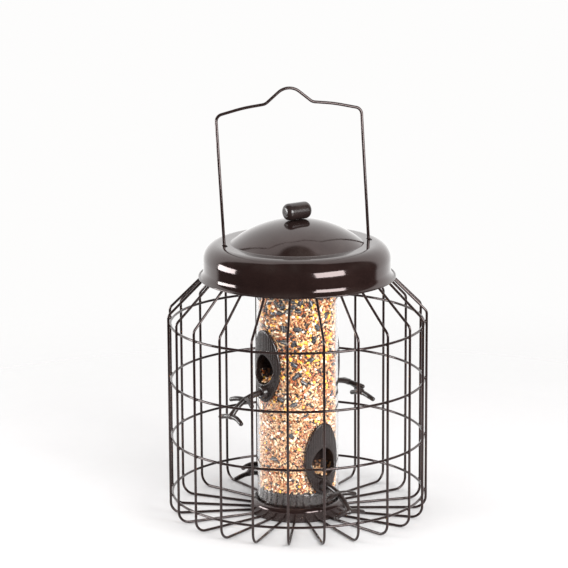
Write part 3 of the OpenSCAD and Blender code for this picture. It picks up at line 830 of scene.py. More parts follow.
class FEEDER_OT_ports(bpy.types.Operator):
    """The four port plates, each with its rounded rim, its lip under the mouth and the boss for its perch"""

    bl_idname = "feeder.ports"
    bl_label = "Port Plates"

    def execute(self, context):
        """Loops round the mouth carried outwards over the lip, across the face, round the rim and back behind."""
        settings = context.scene.feeder_port
        material = plastic_material(context.scene.feeder_finish, "Ribbed Plastic", ribbed=True)
        count, edge = 240, settings.round_edge
        back, face = TUBE_R + 0.00005, TUBE_R + PLATE_OUT
        for number, turn in PORTS:
            name = "port_plate_" + number
            size = high(name) - low(name)
            half_height = float(size[2]) / 2
            half_width = float(max(size[0], size[1])) / 2
            inner = mouth_outline(0.0, count)
            outer = plate_outline(half_width, half_height, 0.0105, count, inner)
            middle = outer.mean(0)
            inward = middle - outer
            inward /= np.linalg.norm(inward, axis=1, keepdims=True)
            lowness = smooth_step(-inner[:, 1], MOUTH_DROP + 0.0005, MOUTH_DROP + 0.006)
            lip = settings.lip * lowness
            loops, radii, ribs = [], [], []

            def loop(flat, radius, rib=0.0):
                loops.append(flat)
                radii.append(np.broadcast_to(radius, count))
                ribs.append(np.full(count, rib))

            loop(inner, back)
            loop(inner, face + lip - 0.0005)
            loop(mouth_outline(0.00025, count), face + lip - 0.0001)
            loop(mouth_outline(0.0006, count), face + lip)
            loop(mouth_outline(0.001, count), face + lip - 0.0001)
            loop(mouth_outline(0.0013, count), face + 0.7 * lip)
            loop(mouth_outline(0.0016, count), face + 0.1 * lip)
            start = mouth_outline(0.0021, count)
            end = outer + inward * edge
            for share in np.linspace(0, 1, 9):
                rib = float(np.sin(math.pi * np.clip(share * 1.6, 0, 0.5)) if share < 0.9 else 0.2)
                loop(start + (end - start) * share, face, rib)
            for a in np.linspace(0.35, 1, 5) * math.pi / 2:
                loop(outer + inward * edge * (1 - math.sin(a)), face - edge * (1 - math.cos(a)))
            loop(outer, back)
            flat = np.stack(loops)
            radius = np.stack(radii)
            across, up = flat[..., 0], flat[..., 1]
            points = np.stack([np.sqrt(radius**2 - across**2), across, up], -1)
            # the third value is the ribs' strength: it sets their bumps and the painted shade in their grooves
            values = np.stack([across / settings.rib_pitch, up, np.stack(ribs)], -1)
            height = plate_height(number)
            surface = Surface()
            surface.grid(turned(points, turn, height), values, wrap_rows=True, flip=True)
            # boss: a short collar round the perch's peg
            out = face + BOSS_OUT
            section = np.array(
                [
                    (TUBE_R + 0.0012, 0.00205),
                    (out - 0.0004, 0.00205),
                    (out, 0.0024),
                    (out, BOSS_R - 0.0009),
                    (out - 0.0003, BOSS_R - 0.00025),
                    (out - 0.0010, BOSS_R),
                    (face + 0.0006, BOSS_R),
                    (face + 0.0001, BOSS_R + 0.0005),
                    (TUBE_R + 0.0012, BOSS_R + 0.0005),
                ]
            )
            a = np.linspace(0, TURN, 40, endpoint=False)
            x = np.repeat(section[:, :1], len(a), 1)
            ring = np.stack([x, section[:, 1:] * np.cos(a), section[:, 1:] * np.sin(a) - BOSS_DROP], -1)
            surface.grid(turned(ring, turn, height), wrap_rows=True, flip=False)
            surface.make("port_" + number, material, "cage", replaces=(name,))
        return {"FINISHED"}


class FEEDER_OT_perches(bpy.types.Operator):
    """The four perches, shaped like forked twigs"""

    bl_idname = "feeder.perches"
    bl_label = "Perches"

    def execute(self, context):
        """A stem carried along a falling arc and four side twigs, with radii that swell at the forks and wander."""
        settings = context.scene.feeder_port
        material = plastic_material(context.scene.feeder_finish, "Twig Plastic")
        start_r = TUBE_R + PLATE_OUT + BOSS_OUT
        reach, drop = 0.0305, 0.0155
        bend = (reach**2 + drop**2) / (2 * drop)
        full = math.asin(reach / bend)
        for index, (number, turn) in enumerate(PORTS):
            rng = np.random.default_rng(40 + index)
            height = plate_height(number) - BOSS_DROP
            surface = Surface()

            def wander(n, sides, size, seed_rng=rng):
                """Slow unevenness round and along a twig: a sum of a few waves."""
                t = np.linspace(0, 1, n)[:, None]
                a = np.linspace(0, TURN, sides, endpoint=False)[None]
                total = np.zeros((n, sides))
                for k in range(1, 6):
                    phase = seed_rng.uniform(0, TURN, 2)
                    total += np.sin(k * 5 * t + (k % 3) * a + phase[0]) * np.sin(3 * k * t + phase[1]) / k**0.5
                return 1 + size * total / 2

            def twig(path, radii, sides=20):
                path, radii = ball_ended(path, radii)
                rings = along(path, radii[:, None] * wander(len(path), sides, settings.knobbly), sides)
                values = np.zeros(rings.shape)
                surface.grid(turned(rings, turn, height), values, caps=True, flip=False)

            a = np.linspace(0, full, 30)
            peg = np.stack([np.linspace(TUBE_R + 0.0016, start_r, 8)[:-1], np.zeros(7), np.zeros(7)], -1)
            arc = np.stack([start_r + bend * np.sin(a), np.zeros(30), bend * (np.cos(a) - 1)], -1)
            radii = np.full(30, 0.0024)
            mid = int(30 * math.asin(0.5 * reach / bend) / full)
            radii += 0.0004 * np.exp(-(((np.arange(30) - mid) / 1.6) ** 2))
            radii += 0.0004 * np.exp(-(((np.arange(30) - 28) / 1.8) ** 2))
            radii[:2] = (0.0021, 0.0023)
            stem = np.concatenate([peg, arc[:1] + [[-1e-5, 0, 0]], arc[1:]])
            twig(stem, np.concatenate([np.full(7, 0.00195), radii]))
            forks = (
                (arc[mid], np.array([0.0045, 0.0165, -0.0022])),
                (arc[-1], np.array([0.0005, 0.0165, -0.0035])),
            )
            for root, out in forks:
                for side in (-1, 1):
                    v = out * (1, side, 1)
                    t = np.linspace(0, 1, 16)[:, None]
                    sag = np.array([0.0, 0.0, 0.0009]) * np.sin(math.pi * t) * rng.uniform(0.4, 1.3)
                    lean = np.array([rng.uniform(-0.0008, 0.0008), 0, 0]) * np.sin(math.pi * t)
                    path = root + v * t * (1 - 0.0021 / np.linalg.norm(v)) + sag + lean
                    radii = 0.0021 * (1.06 - 0.1 * t[:, 0] + 0.12 * np.exp(-((t[:, 0] / 0.12) ** 2)))
                    twig(path, radii, 18)
            name = "perch_" + number
            surface.make("twig_" + name, material, "cage", replaces=(name,))
        return {"FINISHED"}


class FEEDER_OT_plug(bpy.types.Operator):
    """The fluted plug at the foot of the tube"""

    bl_idname = "feeder.plug"
    bl_label = "Tube Plug"

    def execute(self, context):
        """A turned shape whose radius dips in a narrow round-bottomed groove between each two flutes."""
        finish = context.scene.feeder_finish
        material = plastic_material(finish, "Plug Plastic")
        flutes, steps = 36, 14
        a = np.linspace(0, TURN, flutes * steps, endpoint=False)
        groove = np.exp(-((((a * flutes / TURN + 0.5) % 1 - 0.5) / 0.1) ** 2))
        plug_r = BORE_R - 0.0002
        foot, top = PLUG_LOW, PLUG_LOW + 0.0143
        tip = float(high("tube_plug")[2])
        section = [
            (0.008, foot, 0.0),
            (0.03, foot, 0.0),
            (plug_r - 0.0006, foot, 0.5),
            (plug_r - 0.0001, foot + 0.0004, 1.0),
            (plug_r, foot + 0.001, 1.0),
            (plug_r, foot + 0.006, 1.0),
            (plug_r, top - 0.0018, 1.0),
            (plug_r - 0.0002, top - 0.0008, 1.0),
            (plug_r - 0.0007, top - 0.0002, 0.6),
            (plug_r - 0.0014, top, 0.0),
            (0.022, top + 0.0036, 0.0),
            (0.012, top + 0.0071, 0.0),
            (0.003, tip, 0.0),
        ]
        rows = []
        for radius, z, depth in section:
            r = radius - 0.0011 * depth * groove
            rows.append(np.stack([r * np.cos(a), r * np.sin(a), np.full(len(a), z)], -1))
        surface = Surface()
        surface.grid(np.stack(rows), caps=True)
        surface.make("fluted_plug", material, "cage", replaces=("tube_plug",))
        return {"FINISHED"}


class FEEDER_OT_screws(bpy.types.Operator):
    """The two screws that hold the plug to the base and the knob to the lid, with crossed slots in their heads"""

    bl_idname = "feeder.screws"
    bl_label = "Screws"

    def execute(self, context):
        """A turned pan head and shank, its underside pressed in along two crossed slots."""
        material = zinc_material()
        for node, body, name in (("base_screw", "cage", "pan_screw_base"), ("knob_screw", "lid", "pan_screw_knob")):
            lo, hi = low(node), high(node)
            head_r, head_h = float(hi[0]), 0.0024
            shank_r = head_r / (1.8 if node == "base_screw" else 1.9)
            z0, z1 = float(lo[2]), float(hi[2])
            a = np.linspace(0, TURN, 96, endpoint=False)
            radii = head_r * np.linspace(0.02, 0.8, 18)
            rows = []
            for r in radii:
                x, y = r * np.cos(a), r * np.sin(a)
                arm = np.minimum(np.abs(x), np.abs(y))
                slot = smooth_step(-arm, -0.16 * head_r, -0.08 * head_r)
                slot = slot * smooth_step(-r, -0.72 * head_r, -0.5 * head_r)
                rows.append(np.stack([x, y, z0 + 0.0011 * slot], -1))
            for r, z in ((0.9, 0.0002), (0.97, 0.0006), (1.0, 0.0012), (1.0, head_h)):
                rows.append(np.stack([head_r * r * np.cos(a), head_r * r * np.sin(a), np.full(96, z0 + z)], -1))
            threads = np.linspace(head_h, z1 - z0 - 0.0005, 60)
            for z in threads:
                r = shank_r * (0.93 + 0.07 * np.cos(a - TURN * z / 0.0008))
                rows.append(np.stack([r * np.cos(a), r * np.sin(a), np.full(96, z0 + z)], -1))
            rows.append(np.stack([0.6 * shank_r * np.cos(a), 0.6 * shank_r * np.sin(a), np.full(96, z1)], -1))
            surface = Surface()
            surface.grid(np.stack(rows), caps=True)
            surface.make(name, material, body, replaces=(node,))
        for node in ("base_washer", "knob_washer"):
            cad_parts[node].data.materials.clear()
            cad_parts[node].data.materials.append(material)
        return {"FINISHED"}


def random_turns(rng, count, out, lean):
    """Random rotation matrices. Each grain lies across its own outward direction, tilted by up to lean."""
    helper = np.array([0.0, 0.0, 1.0]) + rng.normal(size=(count, 3)) * 0.01
    side = np.cross(out, helper)
    side /= np.linalg.norm(side, axis=1, keepdims=True)
    up = np.cross(out, side)
    a = rng.uniform(0, TURN, count)[:, None]
    first = np.cos(a) * side + np.sin(a) * up + out * rng.uniform(-lean, lean, count)[:, None]
    first /= np.linalg.norm(first, axis=1, keepdims=True)
    third = out - first * np.sum(out * first, 1, keepdims=True)
    third /= np.linalg.norm(third, axis=1, keepdims=True)
    second = np.cross(third, first)
    return np.stack([first, second, third], -1)


# name of the kind, its shape, its half sizes in millimetres (long, wide, thick), how much they vary,
# its share of the mix and how much that share grows where the mix is rich
KINDS = {
    "pale_millet": ("ball", (1.08, 0.98, 0.94), 0.14, 0.44, -0.2),
    "red_millet": ("ball", (1.08, 0.96, 0.92), 0.14, 0.16, 0.18),
    "canary_grain": ("spindle", (2.2, 0.9, 0.8), 0.14, 0.2, -0.06),
    "wheat": ("spindle", (2.6, 1.2, 1.1), 0.14, 0.08, 0.02),
    "cracked_maize": ("ball", (1.8, 1.5, 1.2), 0.3, 0.02, 0.055),
    "white_chip": ("ball", (1.9, 1.3, 0.8), 0.3, 0.045, 0.01),
    "dark_grain": ("ball", (1.15, 1.0, 0.95), 0.15, 0.1, 0.09),
    "sunflower": ("long_spindle", (4.1, 1.9, 1.3), 0.14, 0.0, 0.0),
}
SUNFLOWER = 7
# how far the wall's two layers of grains lie inside the bore, and how far each keeps from a sunflower seed
WALL_LAYERS = ((0.00115, 0.0031), (0.0034, 0.0))
SUNFLOWER_DEPTH = 0.0019
SUNFLOWER_GAP = 0.0052
CORE_DEPTH = 0.0046
# height of a row of grains as a share of their spacing
ROW = 0.86
MOUTH_GAP = 0.0012


def behind_hood(angle, height, radius, grow):
    """True where a place inside the tube lies behind a hood, whose outline is the mouth's, grown."""
    hidden = np.zeros(len(angle), bool)
    r = MOUTH_R + grow
    arch = MOUTH_H - MOUTH_R + grow
    arc = (r * r + arch * arch) / (2 * r)
    for number, turn in PORTS:
        off = (angle - turn + math.pi) % TURN - math.pi
        across = np.where(np.abs(off) < math.pi / 2, radius * np.sin(off), TUBE_R)
        rise = height - plate_height(number) - ARC_RISE
        below = (rise < 0) & (across**2 + rise**2 < r * r)
        side = np.sqrt(np.maximum(arc**2 - rise**2, 0)) - (arc - r)
        hidden |= below | ((rise >= 0) & (rise < arch) & (np.abs(across) < side))
    return hidden


def fill_top(x, y, top):
    """Height of the seed's uneven top."""
    heap = 0.0024 * np.sin(70 * x + 1.1) * np.cos(62 * y + 0.4) + 0.0012 * np.sin(210 * x - 160 * y)
    return top - 0.004 + heap + 0.05 * y


class LooseSeed:
    """Places of the loose grains, sorted by kind. All draws come from one generator, in a fixed order."""

    def __init__(self, settings):
        self.rng = np.random.default_rng(settings.mix)
        self.pitch, self.top = settings.pitch, settings.level
        self.found = {kind: [] for kind in KINDS}

    def lay(self, places, outs, kinds, lean):
        """Sorts places into the kinds' lists."""
        outs = outs / np.linalg.norm(outs, axis=1, keepdims=True)
        for index, kind in enumerate(KINDS):
            chosen = kinds == index
            if chosen.any():
                self.found[kind].append((places[chosen], outs[chosen], np.full(chosen.sum(), lean)))

    def mix(self, height):
        """A kind for each small grain: the share of dark and yellow grains grows towards the top."""
        rich = smooth_step(height, 0.085, 0.13) + 0.6 * smooth_step(-height, -0.04, -0.028)
        share = np.array([kind[3] for kind in KINDS.values()])
        gain = np.array([kind[4] for kind in KINDS.values()])
        shares = share + gain * rich[:, None]
        shares = np.cumsum(shares / shares.sum(1, keepdims=True), axis=1)
        return (self.rng.uniform(size=len(height))[:, None] > shares).sum(1)

    def shaken(self, values, low_shift, high_shift):
        """Values in one row, each moved by a random amount."""
        return values.ravel() + self.rng.uniform(low_shift, high_shift, values.size)

    def lay_wall(self):
        """Sunflower seeds at the wall, kept apart, and round them a jittered lattice of small grains in two layers."""

        def scatter(count, low_z, high_z, turn=0.0, spread=math.pi):
            angle = self.rng.uniform(-spread, spread, count) + turn
            return np.stack([angle, self.rng.uniform(low_z, high_z, count)], -1)

        top, pitch = self.top, self.pitch
        many = scatter(60, 0.1, top - 0.006)
        few = scatter(4, SEED_LOW + 0.006, 0.1)
        crowd = scatter(30, top - 0.017, top - 0.007, FRONT_TURN - 0.45, 0.55)
        sun = np.concatenate([many, few, crowd])
        keep = []
        for i, (angle, z) in enumerate(sun):
            near = sun[keep]
            across = ((angle - near[:, 0] + math.pi) % TURN - math.pi) * BORE_R
            if np.all(np.hypot(across, z - near[:, 1]) > SUNFLOWER_GAP):
                keep.append(i)
        sun = sun[keep]
        sun_r = BORE_R - SUNFLOWER_DEPTH
        sun = sun[~behind_hood(sun[:, 0], sun[:, 1], sun_r, 0.005)]
        for layer, (depth, gap) in enumerate(WALL_LAYERS):
            radius = BORE_R - depth
            columns = int(TURN * radius / pitch)
            bottom = SEED_LOW + 0.001
            rows = int((top - bottom) / (pitch * ROW))
            r, c = np.meshgrid(np.arange(rows), np.arange(columns), indexing="ij")
            angle = (c + 0.5 * (r % 2) + 0.37 * layer) * TURN / columns
            z = bottom + r * pitch * ROW
            angle = (angle + self.rng.uniform(-0.32, 0.32, angle.shape) * pitch / radius).ravel()
            z = (z + self.rng.uniform(-0.32, 0.32, z.shape) * pitch).ravel()
            radius = radius + self.rng.uniform(-0.0003, 0.00015, len(z))
            x, y = radius * np.cos(angle), radius * np.sin(angle)
            ok = (z < fill_top(x, y, top)) & ~behind_hood(angle, z, radius, 0.0026)
            if gap:
                across = ((angle[:, None] - sun[None, :, 0] + math.pi) % TURN - math.pi) * BORE_R
                far = np.hypot(across, z[:, None] - sun[None, :, 1])
                ok &= far.min(1) > gap
            places = np.stack([x, y, z], -1)[ok]
            outs = np.stack([np.cos(angle), np.sin(angle), np.zeros(len(z))], -1)[ok]
            self.lay(places, outs, self.mix(places[:, 2]), 0.5)
        outs = np.stack([np.cos(sun[:, 0]), np.sin(sun[:, 0]), 0 * sun[:, 0]], -1)
        places = sun_r * outs + np.stack([0 * sun[:, 1], 0 * sun[:, 1], sun[:, 1]], -1)
        self.lay(places, outs, np.full(len(sun), SUNFLOWER), 0.1)

    def lay_top(self):
        """Two layers of grains on the uneven top, with a few sunflower seeds."""
        side = np.arange(-0.031, 0.031, self.pitch * 0.95)
        for down in (0.0, 0.0017):
            x, y = np.meshgrid(side, side)
            x = self.shaken(x, -0.0007, 0.0007)
            y = self.shaken(y, -0.0007, 0.0007)
            ok = np.hypot(x, y) < BORE_R - 0.0014
            x, y = x[ok], y[ok]
            z = self.shaken(fill_top(x, y, self.top) - down, -0.0005, 0.0007)
            outs = np.tile([0.0, 0.0, 1.0], (len(x), 1)) + self.rng.normal(size=(len(x), 3)) * 0.1
            kinds = self.mix(z)
            kinds[self.rng.uniform(size=len(x)) < 0.05] = SUNFLOWER
            self.lay(np.stack([x, y, z], -1), outs, kinds, 0.4)

    def lay_mouths(self):
        """A low heap in each mouth, which slopes down to the lip."""
        r = MOUTH_R - MOUTH_GAP
        for number, turn in PORTS:
            for down in (0.0, 0.0016, 0.0032, 0.0048):
                x, y = np.meshgrid(np.arange(0.0215, 0.0362, 0.0018), np.arange(-0.0105, 0.0106, 0.0018))
                x = self.shaken(x, -0.0006, 0.0006)
                y = self.shaken(y, -0.0006, 0.0006)
                z = self.shaken(-0.0102 + 0.2 * (0.036 - x) - down + 0.0008 * np.cos(400 * y), -0.0004, 0.0005)
                room = np.sqrt(np.maximum(r**2 - np.minimum(z, 0) ** 2, 0))
                ok = (np.abs(y) < room) & (z > -r)
                p = turned(np.stack([x, y, z], -1)[ok], turn, plate_height(number) + ARC_RISE)
                outs = np.tile([0.0, 0.0, 1.0], (len(p), 1)) + 0.2 * self.rng.normal(size=(len(p), 3))
                self.lay(p, outs, self.mix(p[:, 2]), 0.5)


class FEEDER_OT_seed(bpy.types.Operator):
    """The loose seed behind the tube's wall, on top of the fill and in the four mouths"""

    bl_idname = "feeder.seed"
    bl_label = "Seed"

    def execute(self, context):
        """Grains laid on the bore in two layers, on the top and in each mouth, round a packed core."""
        settings = context.scene.feeder_seed
        seed = LooseSeed(settings)
        seed.lay_wall()
        seed.lay_top()
        seed.lay_mouths()
        self.make_grains(settings, seed.found, seed.rng)
        self.make_core(settings.level)
        return {"FINISHED"}

    def make_grains(self, settings, found, rng):
        """One mesh for each kind, or more where a kind has many grains."""
        pale, maize = tuple(settings.pale), tuple(settings.maize)
        looks = {
            "pale_millet": (pale, (0.5, 0.2, 0.07), (0.86, 0.62, 0.4), 0.25, 0.32),
            "red_millet": ((0.34, 0.08, 0.02), (0.46, 0.15, 0.04), (0.22, 0.04, 0.015), 0.2, 0.3),
            "canary_grain": ((0.58, 0.36, 0.17), (0.42, 0.22, 0.09), (0.84, 0.64, 0.42), 0.35, 0.34),
            "wheat": ((0.36, 0.15, 0.045), (0.46, 0.22, 0.08), (0.27, 0.1, 0.03), 0.4, 0.42),
            "cracked_maize": (maize, (0.9, 0.52, 0.07), (0.75, 0.28, 0.015), 0.0, 0.35),
            "white_chip": ((0.84, 0.7, 0.56), (0.76, 0.56, 0.4), (0.88, 0.8, 0.7), 0.1, 0.5),
            "dark_grain": ((0.012, 0.009, 0.01), (0.035, 0.018, 0.014), (0.01, 0.008, 0.01), 0.0, 0.3),
        }
        shapes = {"ball": octa_ball(), "spindle": spindle(), "long_spindle": spindle(6, 10, 0.8)}
        for kind, (shape, half, vary, *_shares) in KINDS.items():
            points, triangles = shapes[shape]
            if kind == "sunflower":
                material = sunflower_material()
            else:
                material = grain_material(kind.replace("_", " ").title(), *looks[kind])
            places = np.concatenate([f[0] for f in found[kind]])
            outs = np.concatenate([f[1] for f in found[kind]])
            lean = np.concatenate([f[2] for f in found[kind]])
            limit = 150000 // len(triangles)
            for part, first in enumerate(range(0, len(places), limit)):
                chosen = slice(first, first + limit)
                p, o = places[chosen], outs[chosen]
                n = len(p)
                turns = random_turns(rng, n, o, lean[chosen].max())
                scales = 0.001 * np.array(half) * rng.uniform(1 - vary, 1 + vary, (n, 3))
                own = rng.uniform(size=n)
                m = len(points)
                values = np.stack(
                    [
                        np.repeat(own, m),
                        np.tile(points[:, 0], n),
                        np.tile(np.arctan2(points[:, 2], points[:, 1]) / TURN, n),
                    ],
                    -1,
                )
                moved = np.einsum("nij,nkj->nki", turns, scales[:, None, :] * points[None]) + p[:, None, :]
                if kind == "cracked_maize":
                    # broken kernels: each is squashed on one side and comes to a blunt corner on the other
                    bite = 1 - 0.35 * np.clip(points[None, :, 0] * 0.6 + points[None, :, 1] * 0.8, 0, 1)
                    moved = p[:, None, :] + (moved - p[:, None, :]) * bite[..., None]
                surface = Surface()
                first_point = surface.take(moved, values)
                faces = triangles[None] + first_point + m * np.arange(n)[:, None, None]
                surface.triangles.append(faces.reshape(-1, 3))
                name = "seed_" + kind + ("" if part == 0 else "_" + "bcdefg"[part - 1])
                surface.make(name, material, "cage")

    def make_core(self, top):
        """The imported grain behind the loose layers: a turned body under the uneven top, hollowed behind each hood."""
        rows, columns = 90, 180
        a = np.linspace(0, TURN, columns, endpoint=False)
        z = np.linspace(SEED_LOW + 0.001, top, rows)
        zz, aa = np.meshgrid(z, a, indexing="ij")
        core_r, hollow = BORE_R - CORE_DEPTH, 0.0135
        radius = np.full(zz.shape, core_r)
        for grow, pull in ((0.0045, 0.35), (0.003, 1.0)):
            hidden = behind_hood(aa.ravel(), zz.ravel(), core_r, grow).reshape(zz.shape)
            radius = np.where(hidden, core_r - pull * hollow, radius)
        x, y = radius * np.cos(aa), radius * np.sin(aa)
        zz = np.minimum(zz, fill_top(x, y, top) - 0.0026)
        points = np.stack([x, y, zz], -1)
        lid_rows = []
        for share in (0.75, 0.5, 0.25, 0.05):
            px, py = points[-1, :, 0] * share, points[-1, :, 1] * share
            lid_rows.append(np.stack([px, py, fill_top(px, py, top) - 0.0026], -1))
        points = np.concatenate([points, np.stack(lid_rows)])
        surface = Surface()
        surface.grid(points, caps=True)
        surface.make("seed_core", core_material(), "cage", replaces=tuple(SEED_NODES))


class FEEDER_OT_finishes(bpy.types.Operator):
    """Enamel, plastic and clear finishes on the frame's own parts"""

    bl_idname = "feeder.finishes"
    bl_label = "Finishes"

    def execute(self, context):
        """Each part of the frame that is shown gets the detailed finish of its kind."""
        finish = context.scene.feeder_finish
        enamel = enamel_material(finish)
        plastic = plastic_material(finish, "Dark Plastic")
        clear = clear_material()
        for name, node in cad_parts.items():
            if name.startswith(("cage_", "top_ring", "bail", "base_dish", "lid_shell")):
                material = enamel
            elif name.startswith(("port_hood", "lid_knob")):
                material = plastic
            elif name == "feed_tube":
                material = clear
            else:
                continue
            node.data.materials.clear()
            node.data.materials.append(material)
        return {"FINISHED"}


# ---------------------------------------------------------------- stage

# the camera's lens in millimetres, its sideways shift, its roll and the height that it looks at
LENS = 190.65
SHIFT = -0.0232
ROLL = math.radians(-0.23)
LOOK_Z = 0.2005
# the height that the softboxes are aimed at, and how far away they stand
LIGHT_Z = 0.21
LIGHT_AWAY = 1.2


class FEEDER_OT_stage(bpy.types.Operator):
    """Pale floor, soft studio light and the camera"""

    bl_idname = "feeder.stage"
    bl_label = "Stage"

    def execute(self, context):
        """The floor fades into a white room; two softboxes light the feeder from both sides."""
        settings = context.scene.feeder_stage
        self.make_camera(context, settings)
        self.make_floor(settings)
        self.make_lights(context, settings)
        self.make_room(context, settings)
        context.scene.view_settings.view_transform = "Standard"
        return {"FINISHED"}

    def make_camera(self, context, settings):
        """Looks at the feeder's axis from the given distance and angles, with the view moved a little to one side."""
        a, e = settings.azimuth, settings.elevation
        back = Vector((math.sin(a) * math.cos(e), -math.cos(a) * math.cos(e), math.sin(e)))
        data = bpy.data.cameras.new("Camera")
        data.lens = LENS
        data.shift_x = SHIFT
        data.clip_start, data.clip_end = 0.05, 50
        camera = bpy.data.objects.new("Camera", data)
        context.scene.collection.objects.link(camera)
        camera.rotation_mode = "QUATERNION"
        camera.location = Vector((0, 0, LOOK_Z)) + back * settings.distance
        roll = Matrix.Rotation(ROLL, 4, "Z")
        camera.rotation_quaternion = ((-back).to_track_quat("-Z", "Y").to_matrix().to_4x4() @ roll).to_quaternion()
        context.scene.camera = camera

    def make_floor(self, settings):
        """A pale sheet under the feeder, turned to the camera. It ends short in front and fades out at its edges."""
        side, ahead = np.meshgrid(np.linspace(-1.3, 1.3, 27), np.linspace(-0.46, 1.8, 24))
        c, n = math.cos(settings.azimuth), math.sin(settings.azimuth)
        points = np.stack([c * side - n * ahead, n * side + c * ahead, np.full(side.shape, FLOOR_Z)], -1)
        mesh = bpy.data.meshes.new("floor")
        quads = grid_faces(24, 27, wrap_columns=False)
        mesh.from_pydata(points.reshape(-1, 3).tolist(), [], quads.tolist())
        spot = mesh.attributes.new("spot", "FLOAT_VECTOR", "POINT")
        spot.data.foreach_set("vector", np.stack([side, ahead, 0 * side], -1).astype(np.float32).ravel())
        floor = bpy.data.objects.new("floor", mesh)
        bpy.context.scene.collection.objects.link(floor)
        material, tree, shader, place = new_material("Pale Floor")
        colour = use_group(
            tree,
            mottle_group(),
            Place=place,
            Size=9.0,
            First=tuple(settings.floor),
            Second=tuple(0.985 * c for c in settings.floor),
        ).outputs["Colour"]
        join(tree, colour, shader, "Base Color")
        far = put(tree, "ShaderNodeVectorMath", operation="LENGTH", inputs={0: place}).outputs["Value"]
        ahead = split(tree, own_spot(tree))["Y"]
        shown = maths(tree, "MULTIPLY", between(tree, far, 0.22, 0.8, 1.0, 0.0), between(tree, ahead, -0.44, -0.38))
        join(tree, shown, shader, "Alpha")
        shader.inputs["Roughness"].default_value = 0.75
        mesh.materials.append(material)

    def make_lights(self, context, settings):
        """Softboxes right of the camera and at the feeder's left, seen from the camera."""
        a = settings.azimuth
        target = Vector((0, 0, LIGHT_Z))
        for name, turn, rise, size, power in (
            ("Right Softbox", 40, 12.5, (0.8, 0.62), settings.key_power),
            ("Left Softbox", -93, 4, (0.64, 0.42), settings.side_power),
        ):
            b = a + math.radians(turn)
            e = math.radians(rise)
            data = bpy.data.lights.new(name, "AREA")
            data.shape = "RECTANGLE"
            data.size, data.size_y = size
            data.energy = power
            light = bpy.data.objects.new(name, data)
            context.scene.collection.objects.link(light)
            away = Vector((math.sin(b) * math.cos(e), -math.cos(b) * math.cos(e), math.sin(e)))
            light.location = target + LIGHT_AWAY * away
            light.rotation_mode = "QUATERNION"
            light.rotation_quaternion = (-away).to_track_quat("-Z", "Y")
            light.visible_camera = False

    def make_room(self, context, settings):
        """White to look at and an even light, but reflections show a white backdrop behind and a dim room in front."""
        world = bpy.data.worlds.new("Room")
        world.use_nodes = True
        context.scene.world = world
        tree = world.node_tree
        tree.nodes.clear()
        path = put(tree, "ShaderNodeLightPath")
        way = put(tree, "ShaderNodeTexCoord").outputs["Generated"]
        a = settings.azimuth + math.radians(180)
        middle = (math.sin(a), -math.cos(a), 0.0)
        flat = put(tree, "ShaderNodeVectorMath", operation="MULTIPLY", inputs={0: way, 1: (1, 1, 0)}).outputs[0]
        flat = put(tree, "ShaderNodeVectorMath", operation="NORMALIZE", inputs={0: flat}).outputs[0]
        dot = put(tree, "ShaderNodeVectorMath", operation="DOT_PRODUCT", inputs={0: flat, 1: middle})
        facing = dot.outputs["Value"]
        height = split(tree, way)["Z"]
        behind = between(tree, facing, 0.3, 0.5)
        under = between(tree, height, 0.945, 0.98, 1.0, 0.0)
        screen = maths(tree, "MULTIPLY", behind, under)
        seen = between(tree, screen, 0.0, 1.0, 0.02, 1.5)
        even = maths(tree, "MULTIPLY", between(tree, height, -0.3, 1.0, 0.3, 1.7), settings.room)
        strength = put(tree, "ShaderNodeMix", data_type="FLOAT", inputs={0: path.outputs["Is Glossy Ray"]})
        tree.links.new(even, strength.inputs[2])
        tree.links.new(seen, strength.inputs[3])
        straight = maths(tree, "MAXIMUM", path.outputs["Is Camera Ray"], path.outputs["Is Transmission Ray"])
        total = put(tree, "ShaderNodeMix", data_type="FLOAT", inputs={0: straight})
        tree.links.new(strength.outputs[0], total.inputs[2])
        total.inputs[3].default_value = 0.985
        white = {"Color": (1.0, 0.995, 0.99, 1.0), "Strength": total.outputs[0]}
        light = put(tree, "ShaderNodeBackground", inputs=white)
        out = put(tree, "ShaderNodeOutputWorld")
        tree.links.new(light.outputs[0], out.inputs[0])


class FEEDER_PT_panel(bpy.types.Panel):
    """Lists the feeder's pieces and their settings"""

    bl_idname = "FEEDER_PT_panel"
    bl_label = "Feeder"
    bl_space_type = "VIEW_3D"
    bl_region_type = "UI"
    bl_category = "Feeder"

    def draw(self, context):
        """One button for each operator and one field for each setting."""
        layout = self.layout
        for operator in OPERATORS:
            layout.operator(operator.bl_idname)
        for name in SETTINGS:
            group = getattr(context.scene, name)
            box = layout.box()
            for key in group.__annotations__:
                box.prop(group, key)


SETTINGS = {
    "feeder_seed": FeederSeedSettings,
    "feeder_port": FeederPortSettings,
    "feeder_finish": FeederFinishSettings,
    "feeder_stage": FeederStageSettings,
}
OPERATORS = (
    FEEDER_OT_stage,
    FEEDER_OT_finishes,
    FEEDER_OT_guard,
    FEEDER_OT_ports,
    FEEDER_OT_perches,
    FEEDER_OT_plug,
    FEEDER_OT_screws,
    FEEDER_OT_seed,
)


def register():
    """Adds the settings, operators and panel."""
    for name, group in SETTINGS.items():
        bpy.utils.register_class(group)
        setattr(bpy.types.Scene, name, bpy.props.PointerProperty(type=group))
    for operator in OPERATORS:
        bpy.utils.register_class(operator)
    bpy.utils.register_class(FEEDER_PT_panel)


def unregister():
    """Takes them away again."""
    bpy.utils.unregister_class(FEEDER_PT_panel)
    for operator in reversed(OPERATORS):
        bpy.utils.unregister_class(operator)
    for name, group in SETTINGS.items():
        delattr(bpy.types.Scene, name)
        bpy.utils.unregister_class(group)


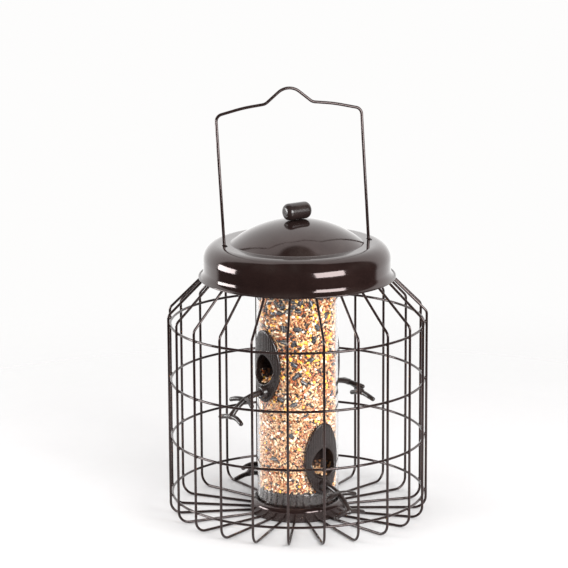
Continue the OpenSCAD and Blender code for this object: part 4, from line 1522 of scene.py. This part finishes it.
def main():
    """Makes every piece."""
    register()
    bpy.ops.feeder.stage()
    bpy.ops.feeder.finishes()
    bpy.ops.feeder.guard()
    bpy.ops.feeder.ports()
    bpy.ops.feeder.perches()
    bpy.ops.feeder.plug()
    bpy.ops.feeder.screws()
    bpy.ops.feeder.seed()
    bpy.context.view_layer.update()


if __name__ == "__main__":
    main()
